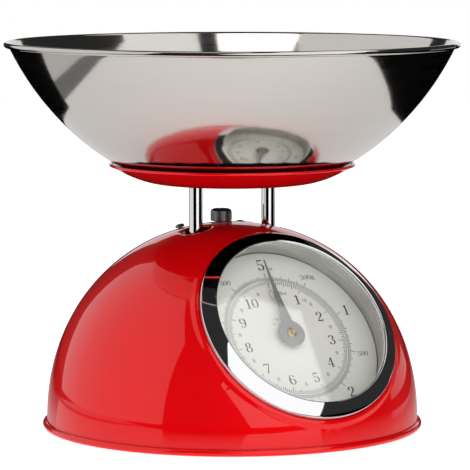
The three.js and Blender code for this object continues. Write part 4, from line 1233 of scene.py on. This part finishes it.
class ScalePointer(bpy.types.Operator):
    """Build the pointer"""

    bl_idname = "kitchen_scale.pointer"
    bl_label = "Pointer"

    def execute(self, context):
        low = -DIAL_DEPTH + 4.5
        high = low + 0.8
        hub, reach = 8.4, 50.0
        join = math.degrees(math.asin(3.1 / hub))
        rim = arc((0, 0), hub, 90 - join, -270 + join, 64)
        side = [(-3.1, 9.5), (-2.55, 14), (-1.9, 20), (-1.35, 27), (-1.0, 33), (-0.55, 42), (-0.24, reach)]
        outline = [*rim, *side, *((-x, y) for x, y in side[::-1])]
        paint = pointer_paint(shape_settings(context, "finishes"))
        plate = rounded(prism(outline, low, high, paint), 0.12)
        bore = turned([(0, low - 1), (1.75, low - 1), (1.75, high + 1), (0, high + 1)], paint, 32)
        mesh = combined(plate, "DIFFERENCE", bore)
        add_piece("dial_pointer", mesh, "pointer", ["pointer"], DIAL, sharp=25)
        collar = turned([(1.55, high + 0.01), (3.3, high + 0.01), (3.3, high + 0.35),
                         (2.7, high + 0.75), (1.9, high + 0.9), (1.55, high + 0.9),
                         (1.55, high + 0.01)], turned_brass(), SMALL_STEPS)
        add_piece("pointer_collar", collar, "pointer", [], DIAL)
        return {"FINISHED"}


# ---- Knob, screws, feet and springs -----------------------------------------------------------


class ScaleKnob(bpy.types.Operator):
    """Build the knurled knob that sets the pointer to zero"""

    bl_idname = "kitchen_scale.knob"
    bl_label = "Zero Knob"

    def execute(self, context):
        low, high = box("zero_knob")
        radius, top = (high.x - low.x) / 2, high.z
        under, bore, stem = top - 7.3, 2.3, 3.1
        shoulder = arc((radius - 1.5, top - 1.5), 1.3, 0, 80, 6)
        outline = [(bore, low.z), (stem, low.z), (stem, under), (radius - 0.6, under),
                   (radius - 0.2, under + 0.4), *shoulder, (radius - 1.7, top), (radius - 2.0, top - 0.3),
                   (radius - 2.2, top - 2), (bore, top - 2), (bore, low.z)]
        steel = blackened_steel()
        body = turned(outline, steel, SMALL_STEPS)
        ribs = grown(knurl_tree, chain([]), Ribs=30, Radius=radius - 0.5, Depth=0.7,
                     Height=4.9, Foot=under + 0.5, Material=steel)
        mesh = merged(body, ribs)
        place = Matrix.Translation((0, KNOB_Y, 0))
        add_piece("knurled_knob", mesh, "zero_knob", ["zero_knob"], place, sharp=30)
        return {"FINISHED"}


def screw_shape(material, head, height, shank, length, countersunk=False):
    """A cross-recessed screw along Z, its head's seat at 0."""
    if countersunk:
        crown = [(shank, -height), (head - 0.1, -0.1), (head, 0), (head - 0.1, 0.05), (0, 0.05)]
    else:
        crown = [(shank, 0), (head, 0), (head, height * 0.45), (head * 0.93, height * 0.72),
                 (head * 0.75, height * 0.9), (head * 0.45, height), (0, height)]
    body = turned([(0, -length), (shank - 0.4, -length), (shank, -length + 0.6), *crown], material, 32)
    top = 0.05 if countersunk else height
    depth, wide, narrow = head * 0.45, head * 1.1, head * 0.24
    bars = []
    for size_x, size_y in ((wide, narrow), (narrow, wide)):
        corners = [(-size_x / 2, -size_y / 2), (size_x / 2, -size_y / 2), (size_x / 2, size_y / 2),
                   (-size_x / 2, size_y / 2)]
        bars.append(prism(corners, top - depth, top + 1, material))
    return combined(body, "DIFFERENCE", *bars)


class ScaleScrews(bpy.types.Operator):
    """Build the screws that show, each set in its own piece"""

    bl_idname = "kitchen_scale.screws"
    bl_label = "Screws"

    def execute(self, context):
        dark, zinc = blackened_steel(), zinc_plate()
        head = screw_shape(dark, 2.75, 2.1, 1.4, 12)
        places = [(p + n * 0.3, n) for p, n in top_screw_places(shape_settings(context, "body"))]
        add_piece("top_screws", copies(head, places, dark), "housing",
                  ["left_top_screw", "right_top_screw"], sharp=30)
        base = screw_shape(zinc, 3.0, 1.9, 1.4, 6)
        centres = [sum(box(f"base_screw_{i}"), Vector()) / 2 for i in range(1, 5)]
        seat = box("base_screw_1")[0].z + 1.9
        places = [((c.x, c.y, seat), (0, 0, -1)) for c in centres]
        add_piece("base_screws", copies(base, places, zinc), "housing",
                  [f"base_screw_{i}" for i in range(1, 5)], sharp=30)
        sunk = screw_shape(zinc, 3.6, 2.1, 1.9, 13, countersunk=True)
        places = [((x, 0, DISH_LOW.z + 0.6), (0, 0, 1)) for x in (-POST_X, POST_X)]
        add_piece("dish_screws", copies(sunk, places, zinc), "load_carrier",
                  ["left_dish_screw", "right_dish_screw"], sharp=30)
        return {"FINISHED"}


class ScaleFeet(bpy.types.Operator):
    """Build the four rubber feet"""

    bl_idname = "kitchen_scale.feet"
    bl_label = "Feet"

    def execute(self, context):
        rubber = moulded_rubber()
        low, high = box("foot_1")
        radius, top = (high.x - low.x) / 2, high.z
        outline = [(0, 0.5), (radius - 3.4, 0.5), (radius - 2.8, 0), *arc((radius - 1.2, 1.2), 1.2, -90, 0, 5),
                   (radius - 0.1, 3.7), (2.9, 3.7), (2.9, 5.5), (4.3, 5.5), (3.9, 6.2), (2.4, top - 0.3),
                   (2.0, top), (0, top)]
        centres = [sum(box(f"foot_{i}"), Vector()) / 2 for i in range(1, 5)]
        foot = turned(outline, rubber, SMALL_STEPS)
        mesh = copies(foot, [((c.x, c.y, 0), (0, 0, 1)) for c in centres], rubber)
        add_piece("rubber_feet", mesh, "housing", [f"foot_{i}" for i in range(1, 5)])
        return {"FINISHED"}


class ScaleSprings(bpy.types.Operator):
    """Build the two load springs"""

    bl_idname = "kitchen_scale.springs"
    bl_label = "Springs"

    def execute(self, context):
        hanger_low, hanger_high = box("spring_hanger")
        shelf = 53.7                     # height of the carrier's shelf that the feet hook under
        turns, radius, wire, per_turn = 9, 3.4, 0.6, 20
        high, low = hanger_low.z - 4, shelf + 4
        top = hanger_high.z + 1.2
        path = [(4, 0, top), (0.8, 0, top), (0.15, 0, top - 0.3), (0, 0, top - 0.9),
                (0, 0, hanger_low.z - 1.2), (0.6, 0, hanger_low.z - 2.6)]
        for i in range(turns * per_turn + 1):
            angle = math.tau * i / per_turn
            path.append((radius * math.cos(angle), radius * math.sin(angle),
                         high + (low - high) * i / (turns * per_turn)))
        path += [(0.6, 0, shelf + 2.6), (0, 0, shelf + 1.2), (0, 0, shelf - 1.9), (0.15, 0, shelf - 2.5),
                 (0.8, 0, shelf - 2.8), (4, 0, shelf - 2.8)]
        middle, waist = len(path) // 2, (high + low) / 2
        halves = (("top", path[:middle + 1], "spring_hanger", "housing", hanger_low.z, waist),
                  ("foot", path[middle:], "housing", "load_carrier", waist, shelf))
        for name, x in (("left_spring", -13), ("right_spring", 13)):
            for half, points, above, below, start, end in halves:
                line = chain([(px + x, py + KNOB_Y, pz) for px, py, pz in points])
                mesh = grown(wire_tree, line, Wire_Radius=wire, Sides=8, Material=zinc_plate())
                piece = add_piece(f"{name}_{half}", mesh, None,
                                  [name] if half == "top" else [], sharp=60)
                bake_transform(piece)
        return {"FINISHED"}


class ScaleFrameFinishes(bpy.types.Operator):
    """Give the parts of the movement and the frame their finishes"""

    bl_idname = "kitchen_scale.frame_finishes"
    bl_label = "Frame Finishes"

    def execute(self, context):
        finishes = shape_settings(context, "finishes")
        for node in frame["nodes"].values():
            for i, slot in enumerate(node.material_slots):
                name = slot.material.name.split(".")[0]
                if name in SLOT_FINISHES:
                    node.data.materials[i] = SLOT_FINISHES[name](finishes)
        return {"FINISHED"}


# ---- Stage ------------------------------------------------------------------------------------

CAMERA_PLACE = Vector((-0.9622, -1.5648, 0.3099))
AIM = Vector((0.0014, -0.0009, 0.1142))


def camera_side():
    """Unit directions on the floor: to the camera's right, and towards the camera."""
    towards = (CAMERA_PLACE - AIM).to_2d().normalized().to_3d()
    return Vector((0, 0, 1)).cross(towards), towards


def from_camera(side, towards, up):
    """A point given as seen by the camera: metres to the right, towards it and up."""
    right, near = camera_side()
    return right * side + near * towards + Vector((0, 0, up))


def soft_box(name, turn, rise, width, height, brightness):
    """A rectangular soft box 1.1 m from the bowl, at an angle to the right of the camera and a
    rise above the floor. Brightness is what a mirror would show of it."""
    lamp = bpy.data.lights.new(name, "AREA")
    lamp.shape, lamp.size, lamp.size_y = "RECTANGLE", width, height
    lamp.energy = brightness * math.pi * width * height
    holder = bpy.data.objects.new(name, lamp)
    turn, rise = math.radians(turn), math.radians(rise)
    away = from_camera(math.sin(turn) * math.cos(rise), math.cos(turn) * math.cos(rise),
                       math.sin(rise)) * 1.1
    holder.location = away + Vector((0, 0, 0.2))
    holder.rotation_euler = away.to_track_quat("Z", "Y").to_euler()
    holder.visible_camera = False
    bpy.context.scene.collection.objects.link(holder)
    return holder


def card(name, corners, glow=0.0, lights=False):
    """A flat card that the camera doesn't see. It shows in reflections, white where it glows and
    black where it doesn't, and with lights it also lights the object. Corners are as seen by the
    camera: to the right, towards it and up."""
    mesh = bpy.data.meshes.new(name)
    mesh.from_pydata([tuple(from_camera(*c)) for c in corners], [], [tuple(range(len(corners)))])
    material, _, _ = start_material(f"{name} Card", Base_Color=(0, 0, 0, 1), Roughness=1.0,
                                    Specular_IOR_Level=0.0, Emission_Color=(1, 1, 1, 1),
                                    Emission_Strength=glow)
    mesh.materials.append(material)
    made = bpy.data.objects.new(name, mesh)
    bpy.context.scene.collection.objects.link(made)
    made.visible_camera = made.visible_shadow = False
    made.visible_diffuse = lights


def on_floor(corners, height=0.001):
    """Corners of a card that lies on the floor."""
    return [(side, towards, height) for side, towards in corners]


def gloss_board(studio):
    """Pale gloss board: white to the camera, a little darker in mirrors, and itself a mirror where
    the view skims it."""
    material, tree, shader = start_material("Pale Gloss Board", Base_Color=tuple(studio.floor),
                                            Roughness=1.0, Specular_IOR_Level=0.0)
    ray = add_node(tree, "ShaderNodeLightPath").outputs["Is Glossy Ray"]
    glow = add_node(tree, "ShaderNodeMapRange", {"Value": ray, "To Min": 0.78, "To Max": 0.18})
    shader.inputs["Emission Color"].default_value = (1, 1, 1, 1)
    link(tree, glow.outputs[0], shader, "Emission Strength")
    facing = add_node(tree, "ShaderNodeLayerWeight", {"Blend": 0.5}).outputs["Facing"]
    low = add_node(tree, "ShaderNodeMapRange", {"Value": facing, "From Min": 0.8, "From Max": 0.93})
    skim = add_node(tree, "ShaderNodeMath", {0: low.outputs[0], 1: ray}, operation="MULTIPLY")
    sheen = add_node(tree, "ShaderNodeBsdfGlossy", {"Color": linear("E8E8E8"), "Roughness": 0.06})
    both = add_node(tree, "ShaderNodeMixShader", {0: skim.outputs[0], 1: shader.outputs[0],
                                                  2: sheen.outputs[0]})
    ending = next(node for node in tree.nodes if node.type == "OUTPUT_MATERIAL")
    link(tree, both.outputs[0], ending, "Surface")
    return material


class ScaleStage(bpy.types.Operator):
    """Set the stage: pale floor, soft boxes and camera"""

    bl_idname = "kitchen_scale.stage"
    bl_label = "Stage"

    def execute(self, context):
        studio = shape_settings(context, "studio")
        scene = context.scene
        scene.view_settings.view_transform = "Standard"
        floor_mesh = turned([(0, 0), (3.0 / MM, 0)], None, 96)
        floor_mesh.transform(Matrix.Scale(MM, 4))
        covered(floor_mesh, gloss_board(studio))
        floor = bpy.data.objects.new("floor", floor_mesh)
        scene.collection.objects.link(floor)
        # The cards are shaped for what the object mirrors from this camera. From elsewhere they
        # show in it as plain bright and dark patches.
        card("Right Floor", on_floor([(0.36, 0.30), (0.34, 0.06), (0.28, -0.18), (0.24, -2.4),
                                      (2.4, -2.4), (2.4, 0.30)]))
        card("Front Floor", on_floor([(-2.4, 0.30), (2.4, 0.30), (2.4, 2.4), (-2.4, 2.4)]))
        card("Left Gap", on_floor([(-0.32, 0.30), (-0.37, 0.30), (-0.37, -0.2), (-0.31, -0.2)]),
             0.2 * studio.light)
        card("Left Floor", on_floor([(-0.37, 0.30), (-2.4, 0.30), (-2.4, -0.2), (-0.37, -0.2)]),
             0.6 * studio.light)
        card("Rear Left Floor", on_floor([(-0.29, -0.2), (-2.4, -0.2), (-2.4, -2.4), (-0.2, -2.4)]))
        card("Back", [(s, -0.9, z) for s, z in ((-0.27, 0.17), (0.5, 0.17), (0.5, 0.45),
                                                (-0.27, 0.45))], 0.9 * studio.light)
        panel = [(0.86, 0.0), (1.0, 1.13), (0.32, 1.78), (-0.59, 1.45), (-1.0, 1.2), (-1.1, 0.93),
                 (-0.95, 0.33), (-0.58, 0.0)]
        card("Left Panel", [(-0.75, t, z) for t, z in panel], 0.85 * studio.light, lights=True)
        card("Front Panel", [(0.21, 1.09, 0.0), (0.83, 0.67, 0.0), (0.47, 0.05, 0.75),
                             (0.23, 0.35, 0.81), (0.05, 0.70, 0.75), (-0.12, 1.03, 0.40)],
             1.25 * studio.light, lights=True)
        card("Right Wall", [(1.0, t, z) for t, z in ((-0.4, 0.0), (-0.4, 0.1), (-1.6, 0.12),
                                                     (-1.6, 0.0))], 0.6 * studio.light)
        card("High Right Card", [(0.13, 0.24, 0.57), (0.30, 0.10, 0.57), (0.30, -0.20, 0.57),
                                 (0.20, -0.20, 0.66), (0.11, 0.17, 0.69)], 1.1 * studio.light)
        card("High Left Card", [(-0.22, 0.15, 0.564), (0.06, 0.25, 0.564), (0.05, 0.19, 0.684),
                                (-0.19, 0.10, 0.684)], 2.0 * studio.light)
        card("Lens Card", [(0.486, 0.060, 0.62), (0.515, 0.115, 0.545), (0.44, 0.16, 0.55),
                           (0.40, 0.09, 0.655)], 2.8 * studio.light)
        # Painted shade: a black card just under the dish that only reflections show, so the bezel and the top
        # of the dome mirror the dish's underside as black.
        dish_shade_outline = [(0.071 * math.cos(a), 0.071 * math.sin(a), 0.1445)
                      for a in (math.tau * i / 24 for i in range(24))]
        card("Under Dish", dish_shade_outline)
        fill = soft_box("Fill", 8, 24, 0.9, 0.7, 2.5 * studio.light)
        fill.visible_glossy = False
        world = bpy.data.worlds.new("Studio")
        scene.world = world
        world.use_nodes = True
        tree = world.node_tree
        tree.nodes.clear()
        ray = add_node(tree, "ShaderNodeLightPath").outputs
        room = add_node(tree, "ShaderNodeMath", {0: ray["Is Glossy Ray"], 1: -0.97, 2: 1.0},
                        operation="MULTIPLY_ADD").outputs[0]
        dim = add_node(tree, "ShaderNodeMath", {0: ray["Is Diffuse Ray"], 1: -0.52, 2: 0.0},
                       operation="MULTIPLY_ADD").outputs[0]
        level = add_node(tree, "ShaderNodeMath", {0: room, 1: dim}).outputs[0]
        glow = add_node(tree, "ShaderNodeBackground", {"Color": linear("FFFFFF"), "Strength": level})
        add_node(tree, "ShaderNodeOutputWorld", {"Surface": glow.outputs[0]})
        lens = bpy.data.cameras.new("Camera")
        lens.lens, lens.sensor_width = studio.lens, 36.0
        lens.clip_start, lens.clip_end = 0.05, 50.0
        camera = bpy.data.objects.new("Camera", lens)
        camera.location = CAMERA_PLACE
        camera.rotation_euler = (AIM - CAMERA_PLACE).to_track_quat("-Z", "Y").to_euler()
        scene.collection.objects.link(camera)
        scene.camera = camera
        return {"FINISHED"}


class ScalePanel(bpy.types.Panel):
    """Lists the steps that build the kitchen scale."""

    bl_idname = "VIEW3D_PT_kitchen_scale"
    bl_label = "Kitchen Scale"
    bl_space_type = "VIEW_3D"
    bl_region_type = "UI"
    bl_category = "Kitchen Scale"

    def draw(self, _context):
        for step in STEPS:
            self.layout.operator(step.bl_idname)


STEPS = (ScaleFrameFinishes, ScaleBody, ScaleDish, ScaleBowl, ScalePosts, ScaleBezel, ScaleLens,
         ScaleDialFace, ScalePointer, ScaleKnob, ScaleScrews, ScaleFeet, ScaleSprings, ScaleStage)
GROUPS = (BodySizes, BowlSizes, DialSizes, Finishes, StudioSettings, KitchenScale)


def register():
    """Makes the settings, the steps and the panel known to Blender."""
    for kind in (*GROUPS, *STEPS, ScalePanel):
        bpy.utils.register_class(kind)
    bpy.types.Scene.kitchen_scale = PointerProperty(type=KitchenScale)


def unregister():
    """Takes them away again."""
    del bpy.types.Scene.kitchen_scale
    for kind in reversed((*GROUPS, *STEPS, ScalePanel)):
        bpy.utils.unregister_class(kind)


def main():
    register()
    for step in STEPS:
        group, name = step.bl_idname.split(".")
        getattr(getattr(bpy.ops, group), name)()


if __name__ == "__main__":
    main()
